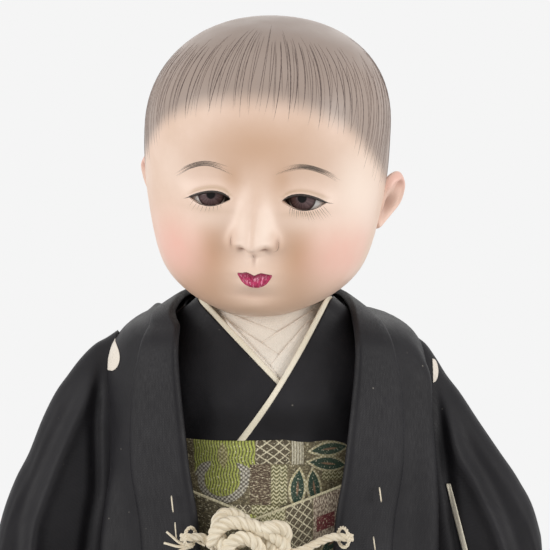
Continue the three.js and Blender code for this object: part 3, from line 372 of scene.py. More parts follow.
def age_on(nodes):
    group = shared_group("cloth age", {"Place": "Vector"}, {"Fade": "Float", "Lint": "Float"}, cloth_age)
    return nodes.shared(group, Place=nodes.place())


def polish_on(nodes):
    group = shared_group("shell white", {"Place": "Vector"}, {"Tone": "Float", "Grain": "Float"}, shell_white)
    return nodes.shared(group, Place=nodes.place())


def new_finish(label, looks):
    """A material whose shader takes the inputs that looks gives."""
    material = bpy.data.materials.new(label)
    material.use_nodes = True
    nodes = Nodes(material.node_tree)
    shader = material.node_tree.nodes["Principled BSDF"].inputs
    nodes.fill(shader, looks(nodes, bpy.context.scene.doll_colours))
    return material


def finish(name):
    """A finish by name, made the first time it is asked for."""
    label = f"{name}_finish"
    return bpy.data.materials.get(label) or new_finish(label, FINISHES[name])


def silk(nodes, light, dark, roughness, threads, relief, sheen):
    """Woven threads with faded places, flecks and lint."""
    group = shared_group("silk weave", {"Flat": "Vector", "Threads": "Float"},
                         {"Height": "Float", "Fleck": "Float"}, silk_weave)
    weave = nodes.shared(group, Flat=nodes.flat(), Threads=threads)
    age = age_on(nodes)
    colour = nodes.blend(age["Fade"], dark, light)
    colour = nodes.blend(nodes.rise(weave["Fleck"], 0.35, 0.75, 0.0, 0.35), colour, light)
    colour = nodes.blend(nodes.times(age["Lint"], 0.35), colour, srgb(176, 170, 160))
    return {"Base Color": colour,
            "Roughness": nodes.rise(weave["Fleck"], 0.2, 0.8, roughness - 0.08, roughness + 0.1),
            "Normal": nodes.bump(weave["Height"], relief, 0.0002),
            "Sheen Weight": sheen, "Sheen Roughness": 0.45, "Specular IOR Level": 0.2}


def black_silk(nodes, colours):
    return silk(nodes, colours.silk_sheen, colours.silk, 0.55, 2200.0, 0.12, 0.0)


def white_silk(nodes, colours):
    return silk(nodes, colours.white_silk, srgb(229, 220, 208), 0.75, 1300.0, 0.35, 0.05)


def cream_silk(nodes, colours):
    return silk(nodes, colours.cream_silk, srgb(225, 217, 196), 0.7, 1500.0, 0.3, 0.05)


def tabi_cotton(nodes, colours):
    return silk(nodes, srgb(232, 228, 218), srgb(214, 207, 194), 0.85, 1500.0, 0.35, 0.05)


def stuffed_cotton(nodes, colours):
    return silk(nodes, srgb(216, 204, 184), srgb(192, 178, 156), 0.9, 1200.0, 0.4, 0.05)


SCROLL_LEAVES = (((-20.0, 3.4), 0.7, 4.2, 1.8), ((-5.6, 2.6), 2.3, 4.4, 1.6))
HEART_LEAF = ((-12.8, 8.2), 1.57, 5.0, 2.0)
GREEN_LEAVES = (
    ((19.4, 9.8), 0.09, 7.4, 2.3), ((18.8, 4.6), -0.12, 7.2, 2.5), ((8.7, -4.0), 1.5, 7.2, 2.5),
    ((14.3, -4.0), 1.7, 7.0, 2.4), ((21.5, -12.5), 0.9, 6.0, 2.2), ((-20.5, -14.5), 0.6, 6.5, 2.3),
    ((-7.5, -17.0), -0.5, 7.0, 2.3), ((5.0, -17.5), 0.5, 6.5, 2.2), ((-33.0, 14.0), 0.5, 8.0, 2.8),
    ((-42.0, -15.0), -0.6, 8.0, 2.8), ((34.0, 15.0), -0.5, 8.0, 2.8), ((42.0, -15.0), 0.7, 8.0, 2.8))


class Brocade(Nodes):
    """Woven motifs laid one over another, in mm, on a repeat of 100 by 44."""

    def __init__(self, tree, flat):
        super().__init__(tree)
        self.colours = bpy.context.scene.doll_colours
        across, along, _ = self.axes(flat)
        self.x = self.math("WRAP", self.times(across, 1000.0), 50.0, -50.0)
        self.z = self.math("WRAP", self.times(along, 1000.0), 22.0, -22.0)
        self.thread = self.streaks(flat, (2300, 1000, 1), 2.0, 0.6)
        self.weft = self.streaks(flat, (1000, 2300, 1), 2.0, 0.6)
        self.beads = self.rise(self.times(self.wave(self.x, 4.2), self.wave(self.z, 4.2)), -0.15, 0.3)
        off = [self.math("POWER", self.plus(*pair), 2.0) for pair in ((self.x, 13.4), (self.z, 0.2))]
        self.far = self.math("SQRT", self.plus(*off))
        ground = self.blend(self.rise(self.weft, 0.38, 0.6), self.colours.brocade_ground, srgb(150, 140, 108))
        wander = self.noise(flat, 420.0, 3.0)
        self.colour = self.blend(self.rise(wander, 0.4, 0.7, 0.0, 0.6), ground, srgb(66, 58, 44))
        self.gilt = 0.0

    def lay(self, mask, dark, light, share):
        """Cover what is below, where the mask is, with two colours mixed by a share."""
        self.colour = self.blend(mask, self.colour, self.blend(share, dark, light))

    def gild(self, mask):
        self.gilt = self.most(self.gilt, mask)

    def block(self, left, right, low, high, z=None, soft=0.25):
        """A mask of one woven block."""
        z = self.z if z is None else z
        sides = self.times(self.rise(self.x, left, left + soft), self.rise(self.x, right, right - soft))
        return self.times(sides, self.times(self.rise(z, low, low + soft), self.rise(z, high, high - soft)))

    def leaf(self, at, turn, length, width):
        """How far inside a pointed leaf a spot lies."""
        dx, dz = self.minus(self.x, at[0]), self.minus(self.z, at[1])
        cos, sin = math.cos(turn), math.sin(turn)
        along = self.plus(self.times(dx, cos / length), self.times(dz, sin / length))
        across = self.minus(self.times(dz, cos), self.times(dx, sin))
        belly = self.times(self.minus(1.0, self.times(along, along)), width)
        return self.minus(belly, self.size(across))

    def lime_fan(self):
        """A light green fan above a round lobe, with a heart and a beaded scroll."""
        swayed = self.math("MULTIPLY_ADD", self.wave(self.z, 1.1), 0.28, self.x)
        wavy = self.rise(self.wave(swayed, 6.4), -0.2, 0.7)
        rippled = self.math("MULTIPLY_ADD", self.wave(self.x, 0.7), 1.4, self.z)
        upper = self.block(-23.5, -2.8, 2.6, 15.0, rippled)
        lobe = self.rise(self.far, 6.2, 5.9)
        self.lay(self.most(upper, lobe), self.colours.brocade_lime, srgb(98, 98, 54), wavy)
        heart = self.rise(self.leaf(*HEART_LEAF), 0.0, 0.5)
        self.lay(self.times(heart, 0.8), srgb(120, 108, 72), srgb(190, 182, 140), self.beads)
        ring = self.rise(self.size(self.minus(self.far, 7.4)), 1.4, 1.1)
        scroll = self.times(ring, self.rise(self.z, 2.8, 1.8))
        for leaf in SCROLL_LEAVES:
            scroll = self.most(scroll, self.rise(self.leaf(*leaf), 0.0, 0.3))
        self.lay(scroll, srgb(112, 106, 96), srgb(206, 202, 188), self.beads)
        self.gild(self.times(scroll, self.beads))

    def bands(self):
        """Cross threads, lattice, gilt chains and a ribbed block."""
        cross = self.times(self.block(-4.6, 1.0, -14.0, 5.2), self.rise(self.far, 8.6, 8.9))
        self.lay(cross, srgb(84, 66, 52), srgb(178, 166, 138), self.rise(self.weft, 0.5, 0.6))
        lattice = self.most(self.block(-2.8, 6.2, 5.0, 15.0), self.block(40.5, 49.9, -8.0, 8.0))
        up = self.size(self.wave(self.plus(self.x, self.z), 1.0))
        down = self.size(self.wave(self.minus(self.x, self.z), 1.0))
        bars = self.rise(self.math("MINIMUM", up, down), 0.32, 0.18)
        self.lay(lattice, srgb(88, 78, 60), srgb(206, 198, 170), bars)
        chain = self.most(self.block(0.9, 5.6, -14.0, 4.8), self.block(-49.9, -41.0, -8.0, 8.0))
        chain = self.most(chain, self.block(16.8, 27.0, -1.4, 2.0))
        links = self.math("MULTIPLY_ADD", self.size(self.wave(self.x, 1.95)), 0.9, self.z)
        braid = self.rise(self.wave(links, 4.6), -0.1, 0.5)
        self.lay(chain, srgb(112, 108, 70), srgb(214, 208, 172), braid)
        ribs = self.rise(self.wave(self.x, 7.5), -0.3, 0.4)
        self.lay(self.block(6.6, 10.4, 4.6, 15.0), srgb(158, 150, 126), srgb(212, 206, 186), ribs)
        self.gild(self.times(chain, braid))

    def blocks(self):
        """Rose, maroon and dull gold blocks, and a pale hem line."""
        self.lay(self.block(26.5, 40.3, -8.0, 6.8), srgb(138, 118, 102), srgb(206, 192, 172),
                 self.rise(self.thread, 0.42, 0.6))
        maroon = self.most(self.block(32.5, 39.2, -5.0, 0.2), self.block(14.5, 20.5, -20.5, -13.8))
        self.lay(maroon, self.colours.brocade_maroon, srgb(196, 178, 150), self.rise(self.thread, 0.6, 0.66))
        self.lay(self.block(-40.8, -25.8, -8.0, 6.8), srgb(74, 66, 50), srgb(128, 120, 92),
                 self.rise(self.weft, 0.45, 0.6))
        hem = self.times(self.rise(self.size(self.x), 25.4, 25.6), self.block(-51, 51, 6.7, 8.2))
        self.colour = self.blend(hem, self.colour, srgb(206, 198, 166))

    def leaves(self):
        """Dark green leaves with a beaded gilt edge and a brown vein."""
        for leaf in GREEN_LEAVES:
            width = leaf[-1]
            depth = self.leaf(*leaf)
            rope = self.times(self.rise(depth, -0.5, -0.3), self.rise(depth, 0.5, 0.3))
            self.colour = self.blend(self.rise(depth, 0.2, 0.4), self.colour, self.colours.brocade_leaf)
            self.lay(rope, srgb(188, 178, 136), srgb(230, 222, 190), self.beads)
            vein = self.rise(depth, width - 0.5, width - 0.25)
            self.colour = self.blend(vein, self.colour, srgb(150, 118, 92))
            self.gild(rope)

    def woven(self):
        """The motifs broken up by their threads, with sparks of gilt."""
        grain = self.rise(self.thread, 0.34, 0.62, 0.62, 1.06)
        tone = self.add("ShaderNodeCombineColor", {0: grain, 1: grain, 2: grain}).outputs[0]
        colour = self.blend(1.0, self.colour, tone, "MULTIPLY")
        spark = self.rise(self.times(self.thread, self.weft), 0.33, 0.38, 0.0, 0.75)
        return {"Color": self.blend(spark, colour, srgb(232, 226, 200)), "Gilt": self.most(self.gilt, spark),
                "Height": self.math("MULTIPLY_ADD", self.gilt, 0.8, self.thread)}


def brocade_weave(nodes, given):
    cloth = Brocade(nodes.tree, given["Flat"])
    cloth.lime_fan()
    cloth.bands()
    cloth.blocks()
    cloth.leaves()
    return cloth.woven()


def brocade(nodes, colours):
    group = shared_group("brocade", {"Flat": "Vector"},
                         {"Color": "Color", "Gilt": "Float", "Height": "Float"}, brocade_weave)
    cloth = nodes.shared(group, Flat=nodes.flat())
    fade = nodes.times(age_on(nodes)["Fade"], 0.15)
    return {"Base Color": nodes.blend(fade, cloth["Color"], srgb(92, 82, 62)),
            "Roughness": nodes.rise(cloth["Gilt"], 0.0, 1.0, 0.72, 0.42),
            "Metallic": nodes.times(cloth["Gilt"], 0.35),
            "Normal": nodes.bump(cloth["Height"], 0.35, 0.00015)}


def white_cord(nodes, colours):
    fibres = nodes.streaks(nodes.flat(), (900, 160, 1), 3.0, 0.7)
    return {"Base Color": nodes.blend(nodes.rise(fibres, 0.3, 0.7), srgb(206, 192, 166), colours.cord),
            "Roughness": nodes.rise(fibres, 0.2, 0.8, 0.6, 0.85),
            "Normal": nodes.bump(fibres, 0.6, 0.0004), "Sheen Weight": 0.15}


def gofun_skin(nodes, colours):
    """Plain shell white, for hands, neck and legs."""
    polish = polish_on(nodes)
    return {"Base Color": nodes.blend(polish["Tone"], srgb(206, 178, 152), colours.skin),
            "Roughness": nodes.rise(polish["Tone"], 0.0, 1.0, 0.52, 0.4),
            "Normal": nodes.bump(polish["Grain"], 0.05, 0.0001)}


def painted_face(nodes, colours):
    """Shell white with blush, tinted lids and a misty cap of hair colour, with painted shade and painted
    highlights where light falls, and painted shade in the grooves.
    """
    polish = polish_on(nodes)
    colour = nodes.blend(polish["Tone"], srgb(224, 196, 177), colours.skin)
    # painted shade, browner where less light falls on the face
    colour = nodes.blend(nodes.mark("painted_shade"), colour, srgb(196, 157, 127))
    # painted highlights on the nose, temples, cheeks' sides, under the eyes, over the lip, on the lids and on
    # the ears' rims
    colour = nodes.blend(nodes.mark("light"), colour, srgb(246, 229, 216))
    cloud = nodes.rise(nodes.noise(nodes.place(), 140.0, 4.0, 0.6), 0.2, 0.8, 0.75, 1.0)
    colour = nodes.blend(nodes.times(nodes.mark("blush"), cloud), colour, colours.blush)
    colour = nodes.blend(nodes.mark("lid"), colour, srgb(176, 150, 112))
    # painted shade in the hollows: nostrils, nose-wing creases, philtrum, under the lower lip and in the
    # ears' bowls
    colour = nodes.blend(nodes.mark("hollow_shade"), colour, srgb(128, 84, 66))
    streaks = nodes.streaks(nodes.flat(), (420, 9, 1), 4.0, 0.7)
    cap = nodes.times(nodes.mark("hair"), nodes.rise(streaks, 0.15, 0.75, 0.72, 1.0))
    mist = nodes.blend(nodes.rise(streaks, 0.3, 0.75), colours.hair_mist, srgb(160, 145, 137))
    return {"Base Color": nodes.blend(cap, colour, mist),
            "Roughness": nodes.rise(polish["Tone"], 0.0, 1.0, 0.5, 0.38),
            "Normal": nodes.bump(polish["Grain"], 0.05, 0.0001)}


def painted_lips(nodes, colours):
    flat = nodes.flat()
    height = nodes.axes(flat)[1]
    brush = nodes.streaks(flat, (1700, 420, 1), 4.0, 0.7)
    gloss_highlights = nodes.streaks(flat, (1500, 230, 1), 3.0, 0.7)
    colour = nodes.blend(nodes.rise(brush, 0.4, 0.56), srgb(132, 16, 56), colours.lips)
    # pale pink specks are painted highlights of the lips' gloss
    colour = nodes.blend(nodes.rise(gloss_highlights, 0.53, 0.64, 0.0, 0.9), colour, srgb(240, 164, 190))
    colour = nodes.blend(nodes.rise(height, 0.0060, 0.0092, 0.0, 0.7), colour, srgb(122, 14, 50))
    colour = nodes.blend(nodes.rise(height, 0.0086, 0.0096), colour, srgb(104, 22, 46))
    return {"Base Color": colour, "Roughness": nodes.rise(brush, 0.3, 0.7, 0.25, 0.42),
            "Normal": nodes.bump(brush, 0.2, 0.0002)}


def ink(nodes, dark, light, smoothest, roughest):
    grain = nodes.streaks(nodes.flat(), (300, 500, 1), 3.0, 0.7)
    return {"Base Color": nodes.blend(nodes.rise(grain, 0.3, 0.75), dark, light),
            "Roughness": nodes.rise(grain, 0.2, 0.8, smoothest, roughest)}


def brush_ink(nodes, colours):
    return ink(nodes, colours.hair_ink, srgb(112, 96, 88), 0.5, 0.65)


def thin_ink(nodes, colours):
    return ink(nodes, srgb(78, 69, 61), srgb(116, 102, 91), 0.5, 0.65)


def lid_ink(nodes, colours):
    return ink(nodes, srgb(34, 28, 26), srgb(58, 48, 42), 0.4, 0.55)


IRIS_RING = 4.1  # the glass is painted for an iris of this radius in mm


def eye_glass(nodes, colours):
    """Painted glass: a dark pupil, a streaked iris and a grey-white ball under a clear gloss, with painted
    shade of the lids in its corners and over its top.
    """
    ring = nodes.mark("gaze")
    streak = nodes.streaks(nodes.flat(), (40, 3, 1), 4.0, 0.7)
    cloud = nodes.rise(nodes.noise(nodes.place(), 300.0, 3.0), 0.3, 0.7)
    white = nodes.blend(cloud, srgb(192, 194, 195), srgb(214, 215, 214))
    iris = nodes.blend(nodes.rise(streak, 0.3, 0.7), colours.iris, srgb(108, 90, 91))
    iris = nodes.blend(nodes.rise(ring, IRIS_RING - 1, IRIS_RING), iris, srgb(52, 40, 40))
    colour = nodes.blend(nodes.rise(ring, 4.3, 4.0), white, iris)
    colour = nodes.blend(nodes.rise(ring, 1.5, 1.1), colour, srgb(14, 12, 12))
    # painted shade of the lids, dark in the eye's corners and over its top
    colour = nodes.blend(nodes.mark("corner"), colour, srgb(30, 25, 24))
    return {"Base Color": colour, "Roughness": nodes.rise(streak, 0.2, 0.8, 0.12, 0.2),
            "Specular IOR Level": 0.1, "Coat Weight": 0.12, "Coat Roughness": 0.03}


def plain_grain(nodes, light, dark, scale, roughness, relief=0.2, metallic=0.0):
    """Wood, paste, paper, putty and small metal on the frame's own solids."""
    grain = nodes.streaks(nodes.place(), scale, 4.0, 0.65)
    return {"Base Color": nodes.blend(nodes.rise(grain, 0.3, 0.7), dark, light),
            "Roughness": nodes.rise(grain, 0.2, 0.8, roughness - 0.1, roughness + 0.08),
            "Normal": nodes.bump(grain, relief, 0.0003), "Metallic": metallic}


def bare_composition(nodes, colours):
    return plain_grain(nodes, srgb(168, 138, 104), srgb(132, 104, 76), (260, 260, 260), 0.85, 0.35)


def paulownia(nodes, colours):
    return plain_grain(nodes, srgb(206, 178, 140), srgb(170, 136, 98), (420, 420, 40), 0.7)


def putty(nodes, colours):
    return plain_grain(nodes, srgb(196, 184, 164), srgb(168, 152, 130), (300, 300, 300), 0.8)


def bellows_paper(nodes, colours):
    return plain_grain(nodes, srgb(206, 194, 168), srgb(176, 160, 130), (500, 500, 500), 0.85)


def spring_steel(nodes, colours):
    return plain_grain(nodes, srgb(170, 170, 172), srgb(128, 126, 124), (900, 900, 900), 0.35, 0.05, 1.0)


def reed_brass(nodes, colours):
    return plain_grain(nodes, srgb(206, 174, 104), srgb(160, 124, 62), (700, 700, 700), 0.38, 0.05, 1.0)


def pale_floor(nodes, colours):
    """A mottled floor that fades out away from the doll."""
    place = nodes.place()
    far = nodes.add("ShaderNodeVectorMath", {0: place}, operation="LENGTH").outputs["Value"]
    mottle = nodes.noise(place, 30.0, 3.0)
    return {"Base Color": nodes.blend(mottle, srgb(236, 235, 233), srgb(244, 243, 241)),
            "Alpha": nodes.rise(far, 0.32, 0.68, 1.0, 0.0), "Roughness": 0.8}


FINISHES = {make.__name__: make for make in (
    black_silk, white_silk, cream_silk, brocade, white_cord, gofun_skin, painted_face, painted_lips,
    brush_ink, thin_ink, lid_ink, eye_glass, tabi_cotton, stuffed_cotton, bare_composition, paulownia, putty,
    bellows_paper, spring_steel, reed_brass)}


# The coat's cord

CORD_Y = -44.15
LOOP_X, LOOP_Z = 25.0, 231.5
KNOT_X, KNOT_Z = -5, 224
KNOT_WIDE, KNOT_TALL, KNOT_SKEW = 5.5, 3.25, 0.35
CORD_POINTS = 420
STRAND_OFFSET, STRAND_RADIUS = 0.5, 0.56  # as shares of the rope's radius
OVER_AND_UNDER = table([(-2.3, 0), (-1.932, 1), (-1.732, -1), (-0.518, 1), (0.518, -1), (1.732, 1),
                        (1.932, -1), (2.3, 0)])
KNOT_COILS = (((-17.6, -44.6, 229), (-16.6, -46.4, 233.6), (-12.2, -47.6, 236.8), (-6.4, -47.8, 236.4),
               (0.2, -47.6, 233.8), (4.8, -46.6, 230.4), (6.4, -45.0, 226)),
              ((-13.2, -46.0, 226), (-12.0, -48.4, 230.0), (-8.0, -49.2, 232.2), (-3.6, -48.8, 230.4),
               (-1.6, -46.8, 225.5)))
FRAYED_ENDS = (
    ((-24.0, 229.0), (-27.6, 229.0), (-32.8, 232.6)), ((-24.0, 228.6), (-28.2, 228.0), (-33.6, 228.9)),
    ((-20.0, 228.8), (-22.0, 229.6), (-23.8, 230.6)), ((-24.5, 228.4), (-28.6, 226.6), (-32.4, 224.6)))
LOOP_HALF_WIDTH, LOOP_RADIUS = 1.7, 3.2
LOOP_CORD_RADIUS, LOOP_TWIST = 0.62, 2.8
TASSEL_TOP, TASSEL_NECK, TASSEL_BELLY, TASSEL_SKIRT = 222, 219.5, 213, 205
TASSEL_SPACING = 3.4
TASSEL_THREADS, TASSEL_THREAD_RADIUS = 46, 0.26
TASSEL_RADII, TASSEL_LENGTHS = (2.6, 3.1), (24.0, 26.0)
TASSEL_BINDING = (220.0, 220.6, 221.2)
BINDING_RADIUS, BINDING_THREAD_RADIUS = 1.5, 0.3


def cord_route():
    """The cord's middle line in mm, from the right loop through the knot to the left loop."""
    knot = [(KNOT_X + KNOT_WIDE * (t**3 - 3 * t), CORD_Y + 2 * float(OVER_AND_UNDER(t)[0]),
             KNOT_Z - (KNOT_TALL + KNOT_SKEW * math.tanh(2 * t)) * (t**4 - 4 * t * t))
            for t in np.linspace(-1.97, 1.97, 41)]
    right = [(-LOOP_X + step, CORD_Y, LOOP_Z) for step in (-3, 0, 4)]
    left = [(LOOP_X + step, CORD_Y, LOOP_Z) for step in (-4, 0, 3)]
    return smooth_line(right + knot + left, CORD_POINTS)


def lay_rope(shape, route, radius, pitch, strands=3, sides=8):
    """Strands twisted about a route; the radius may change along it."""
    side, over = line_frames(route)
    radius = np.broadcast_to(np.asarray(radius, float), len(route))
    run = run_along(route)
    for strand in range(strands):
        turn = 2 * np.pi * (run / pitch + strand / strands)[:, None]
        points = route + STRAND_OFFSET * radius[:, None] * (np.cos(turn) * side + np.sin(turn) * over)
        lay_bar(shape, points, radius * STRAND_RADIUS, sides, (0.006, run[-1] * MM))


def make_coils(radius, twist):
    shape = bmesh.new()
    for coil in KNOT_COILS:
        lay_rope(shape, smooth_line(coil, 90), radius, twist)
    return make_piece("knot_coils", shape, "white_cord", "torso")


def make_cord_ends():
    shape = bmesh.new()
    for end in FRAYED_ENDS:
        line = smooth_line([(x, float(on_coat(x, z, 4.4)[1]), z) for x, z in end], 16)
        lay_bar(shape, line, np.linspace(0.62, 0.4, 16), 6, (0.003, 0.01))
    return make_piece("cord_ends", shape, "white_cord", "torso")


def make_lapel_loop(side, name):
    shape = bmesh.new()
    turn = np.linspace(0, 2 * np.pi, 49)
    ring = np.stack([side * LOOP_X - LOOP_HALF_WIDTH * side * np.cos(turn),
                     CORD_Y + LOOP_RADIUS * np.cos(turn), LOOP_Z + LOOP_RADIUS * np.sin(turn)], -1)
    lay_rope(shape, ring, LOOP_CORD_RADIUS, LOOP_TWIST, strands=2, sides=6)
    return make_piece(f"lapel_loop_{name}", shape, "white_cord", "torso", [f"cord_loop_{name}"])


def make_tassel(side, name):
    shape = bmesh.new()
    chance = random.Random(7 + side)
    middle = KNOT_X + TASSEL_SPACING * side
    for _ in range(TASSEL_THREADS):
        turn, out = chance.uniform(0, 2 * math.pi), math.sqrt(chance.random())
        foot = out * chance.uniform(*TASSEL_RADII)
        length = chance.uniform(*TASSEL_LENGTHS)
        rows = [(0.9 * out, TASSEL_TOP), (1.0 * out, TASSEL_NECK), (foot * 0.85, TASSEL_BELLY),
                (foot, TASSEL_SKIRT), (foot * 1.02, TASSEL_TOP - length)]
        points = smooth_line([(middle + far * math.cos(turn), CORD_Y + far * math.sin(turn), z)
                              for far, z in rows], 9)
        lay_bar(shape, points, TASSEL_THREAD_RADIUS, 4, (0.002, 0.026))
    ring = np.linspace(0, 2 * np.pi, 25)
    for z in TASSEL_BINDING:
        points = np.stack([middle + BINDING_RADIUS * np.cos(ring), CORD_Y + BINDING_RADIUS * np.sin(ring),
                           np.full(25, z)], -1)
        lay_bar(shape, points, BINDING_THREAD_RADIUS, 5)
    return make_piece(f"cord_tassel_threads_{name}", shape, "white_cord", "torso", [f"cord_tassel_{name}"])


def make_cord(sizes):
    radius, twist = sizes.cord_diameter / MM / 2, sizes.cord_twist / MM
    route = cord_route()
    run = run_along(route)
    slack = 0.6 + 0.45 * smooth(np.minimum(run, run[-1] - run), 15, 26)
    shape = bmesh.new()
    lay_rope(shape, route, slack * radius, twist)
    cord = make_piece("coat_cord_rope", shape, "white_cord", "torso", ["coat_cord"])
    loops = [make_coils(radius, twist), make_cord_ends()]
    loops += [make_lapel_loop(side, name) for side, name in SIDES]
    loops += [make_tassel(side, name) for side, name in SIDES]


# The head, in its own frame in mm

HEAD_CENTRE = (0, -0.006, 0.350)  # on the doll, in metres
HEAD_LEAN = [math.radians(degrees) for degrees in (8, 2.5, -7)]
HEAD_PLACE = (Matrix.Translation(HEAD_CENTRE) @ Euler(HEAD_LEAN, "XYZ").to_matrix().to_4x4()
              @ Matrix.Scale(MM, 4))
FACE_SIDE = 1.9  # the face's middle line stands this far to the doll's left of the head's axis
BROW_LEVEL, CROWN_HEIGHT, CHIN_DEPTH = 14, 36.5, 60.0
HEAD_HALF_WIDTH, FACE_DEPTH, NAPE_DEPTH = 40.7, 41.5, 46
FACE_CURVE = 2.3
EYE_RADIUS = 8.6
EYE_CENTRE = {1: (FACE_SIDE + 14.9, -28.8, -2.9), -1: (FACE_SIDE - 15.5, -30.0, -2.9)}
EYE_INNER, EYE_LENGTH = 8.3, 13.9  # from the face's middle to the inner corner, and on to the outer one
EYE_LEVEL, EYE_DROOP = -2.7, 0.6
EYE_HALF_OPEN = {1: 2.2 * 1.04, -1: 2.2 * 0.97}
EYE_EDGE_POINTS = 160
EYE_RIM_STEPS = ((0.5, 0.0), (1.5, 0.35), (3.0, 0.8))  # how far in and how far outward the rim goes
EYE_POCKET = 9.5
HAIRLINE = table([(0, 27.3), (0.3, 26.3), (0.6, 22), (0.8, 17), (0.95, 11.5), (1.1, 6), (1.3, 0), (1.45, -4),
                  (1.8, -9), (2.1, -14), (2.5, -22), (math.pi, -25)])
NECK_PROFILE = ((0, 300.4), (10.5, 300.4), (12.2, 301.2), (12.4, 304), (12.2, 309), (12.3, 315),
                (12.8, 323.5), (0, 324))
# Bumps of the face: height, place and size, for both sides and then for the middle
CHEEKS_AND_EYES = ((2.2, 21, -20, 12, 12), (-2.2, 15, 2, 9, 6.5), (1.5, 16, -3.2, 7.5, 4.5),
                   (0.25, 1.9, -22.0, 0.8, 2.6), (-1.2, 3.6, -18.3, 1.2, 0.8))
MOUTH_AND_CHIN = ((2.2, 0, -28, 12, 8), (1.0, 0, -26.6, 5.2, 1.4), (1.5, 0, -30.2, 4.6, 1.9),
                  (-0.3, 0, -28.1, 4.0, 0.55), (2.0, 0, -39, 8, 4.5), (-0.8, 0, -34.4, 6, 1.5),
                  (-0.5, -0.1, -22.0, 0.9, 2.2), (0.9, 0, -16.2, 4.4, 2.8))
# Tints of the face, painted shade and painted highlights among them: strength, place and size
BLUSH_SPOT = (27.0, -21.5, 10.5, 10.5)
# painted shade: beside the nose, under the mouth's corners, at the inner eye corners, on the forehead's
# middle, under the chin and on one lower cheek
PAINTED_SHADE_SIDES = ((0.95, 14, -20, 6.5, 10), (0.5, 13, -34, 8, 8), (0.5, 8.0, 3.5, 3.6, 5.5))
PAINTED_SHADE_SPOTS = ((0.75, 0, 15, 22, 10), (0.45, 0, -41, 16, 5), (0.55, -24, -33, 9, 9))
# painted highlights: on the temples, under the eyes, over the upper lip, on the cheeks' sides and down the
# nose
PAINTED_HIGHLIGHT_SIDES = ((0.2, 30, 6, 5, 9), (0.3, 15.5, -9.5, 8, 3.0))
PAINTED_HIGHLIGHT_SPOTS = ((0.4, 0, -21.0, 4.5, 4), (0.8, 32, -6, 7, 16))
NOSE_PAINTED_HIGHLIGHT = (3.6, -11, 2.2, 6.5)
LOWER_LID_TINT = ((0.2, 15.5, -6.6, 7.5, 1.0),)
# painted shade in the nostrils, the nose wings' creases, under the lower lip and down the philtrum
NOSTRIL_SHADES = ((0.95, 3.7, -18.1, 1.1, 0.6),)
NOSE_WING_SHADES = ((0.45, 7.6, -16.2, 0.6, 2.0),)
GROOVE_SHADES = ((0.25, 0, -34.6, 5, 1.0), (0.45, 0.0, -21.7, 0.6, 1.9))


def lid_line(side, z):
    """How far a spot lies above the fold of the upper lid, and how much of the lid is there."""
    share = (side - EYE_INNER) / EYE_LENGTH
    fold = -1.4 - EYE_DROOP * share + 2.3 * np.sin(np.pi * np.clip(share, 0, 1) ** 0.82) ** 0.8
    return z - fold, smooth(share, -0.12, 0.15) * smooth(share, 1.15, 0.85)


def face_relief(x, z):
    """How far the features stand out from the plain head, in mm; x is measured from the face's middle."""
    side = np.abs(x)
    out = mounds(CHEEKS_AND_EYES, side, z) + mounds(MOUTH_AND_CHIN, x, z)
    above, lid = lid_line(side, z)
    out += lid * (0.4 * hump(above, -0.9, 0.7) - 0.45 * hump(above, 0, 0.5))
    rise = 1 - smooth(z, -14, 8)
    base = z + 1.0 * hump(x, 0, 1.8) - 0.5 * hump(side, 3.7, 1.3) + 0.3 * hump(side, 6.3, 1.6)
    under = smooth(base, -20.6, -16.0)
    out += 8.2 * rise**1.4 * under * hump(x, 0, 3.4 + 1.2 * rise)
    return out + 2.9 * under * mound(side, z, 5.6, -15.9, 2.6, 3.2)


def cheek_swell(z):
    return 1 + 0.04 * smooth(-z, 10, 34) + 0.045 * hump(z, -36, 9)


def crown_shift(z):
    """How far the top of the head leans to the doll's left."""
    return 1.2 * smooth(z, 8, 48)


def head_sizes(z):
    """Half the width, the depth to the face and the depth to the nape at a height."""
    up = z > BROW_LEVEL
    level = np.clip(np.abs(z - BROW_LEVEL) / np.where(up, CROWN_HEIGHT, CHIN_DEPTH), 0, 1)

    def narrow(exponent):
        return (1 - level**exponent) ** (1 / exponent)
    return (HEAD_HALF_WIDTH * np.where(up, narrow(2.2), narrow(2.5)),
            FACE_DEPTH * np.where(up, narrow(2.4), narrow(5.0)), NAPE_DEPTH * narrow(2.2))


def head_form(angle, z):
    """Points on the head at an angle round it (0 at the face) and a height."""
    angle, z = np.asarray(angle, float), np.asarray(z, float)
    half_width, face, nape = head_sizes(z)
    front = np.cos(angle) > 0
    x = half_width * np.where(front, power(np.sin(angle), 2 / FACE_CURVE), np.sin(angle))
    y = -np.where(front, face * power(np.cos(angle), 2 / FACE_CURVE), nape * np.cos(angle))
    x = x * cheek_swell(z) + crown_shift(z)
    y = y - smooth(-y, 8, 26) * face_relief(x - FACE_SIDE, z)
    return x, y, z + 0 * x


def face_angle(x, z):
    """The angle at which the face's skin has this x at this height."""
    z = np.asarray(z, float)
    plain = (np.asarray(x, float) - crown_shift(z)) / cheek_swell(z)
    return np.arcsin(power(np.clip(plain / head_sizes(z)[0], -0.999, 0.999), FACE_CURVE / 2))


def skin(angle, z):
    """Points of the skin and the directions straight out of it."""
    def spot(turn=0.0, rise=0.0):
        return np.stack(head_form(np.asarray(angle) + turn, np.asarray(z) + rise), -1)
    along = spot(turn=2e-3) - spot(turn=-2e-3)
    up = spot(rise=0.05) - spot(rise=-0.05)
    return spot(), unit(np.cross(along, up))


def eye_lids(side, share):
    """Heights of the lower and the upper lid's edge at a share of the eye's length."""
    level, half = EYE_LEVEL - EYE_DROOP * share, EYE_HALF_OPEN[side]
    return (level - half * np.sin(np.pi * share**1.05) ** 0.9,
            level + half * np.sin(np.pi * share**0.82) ** 0.9)


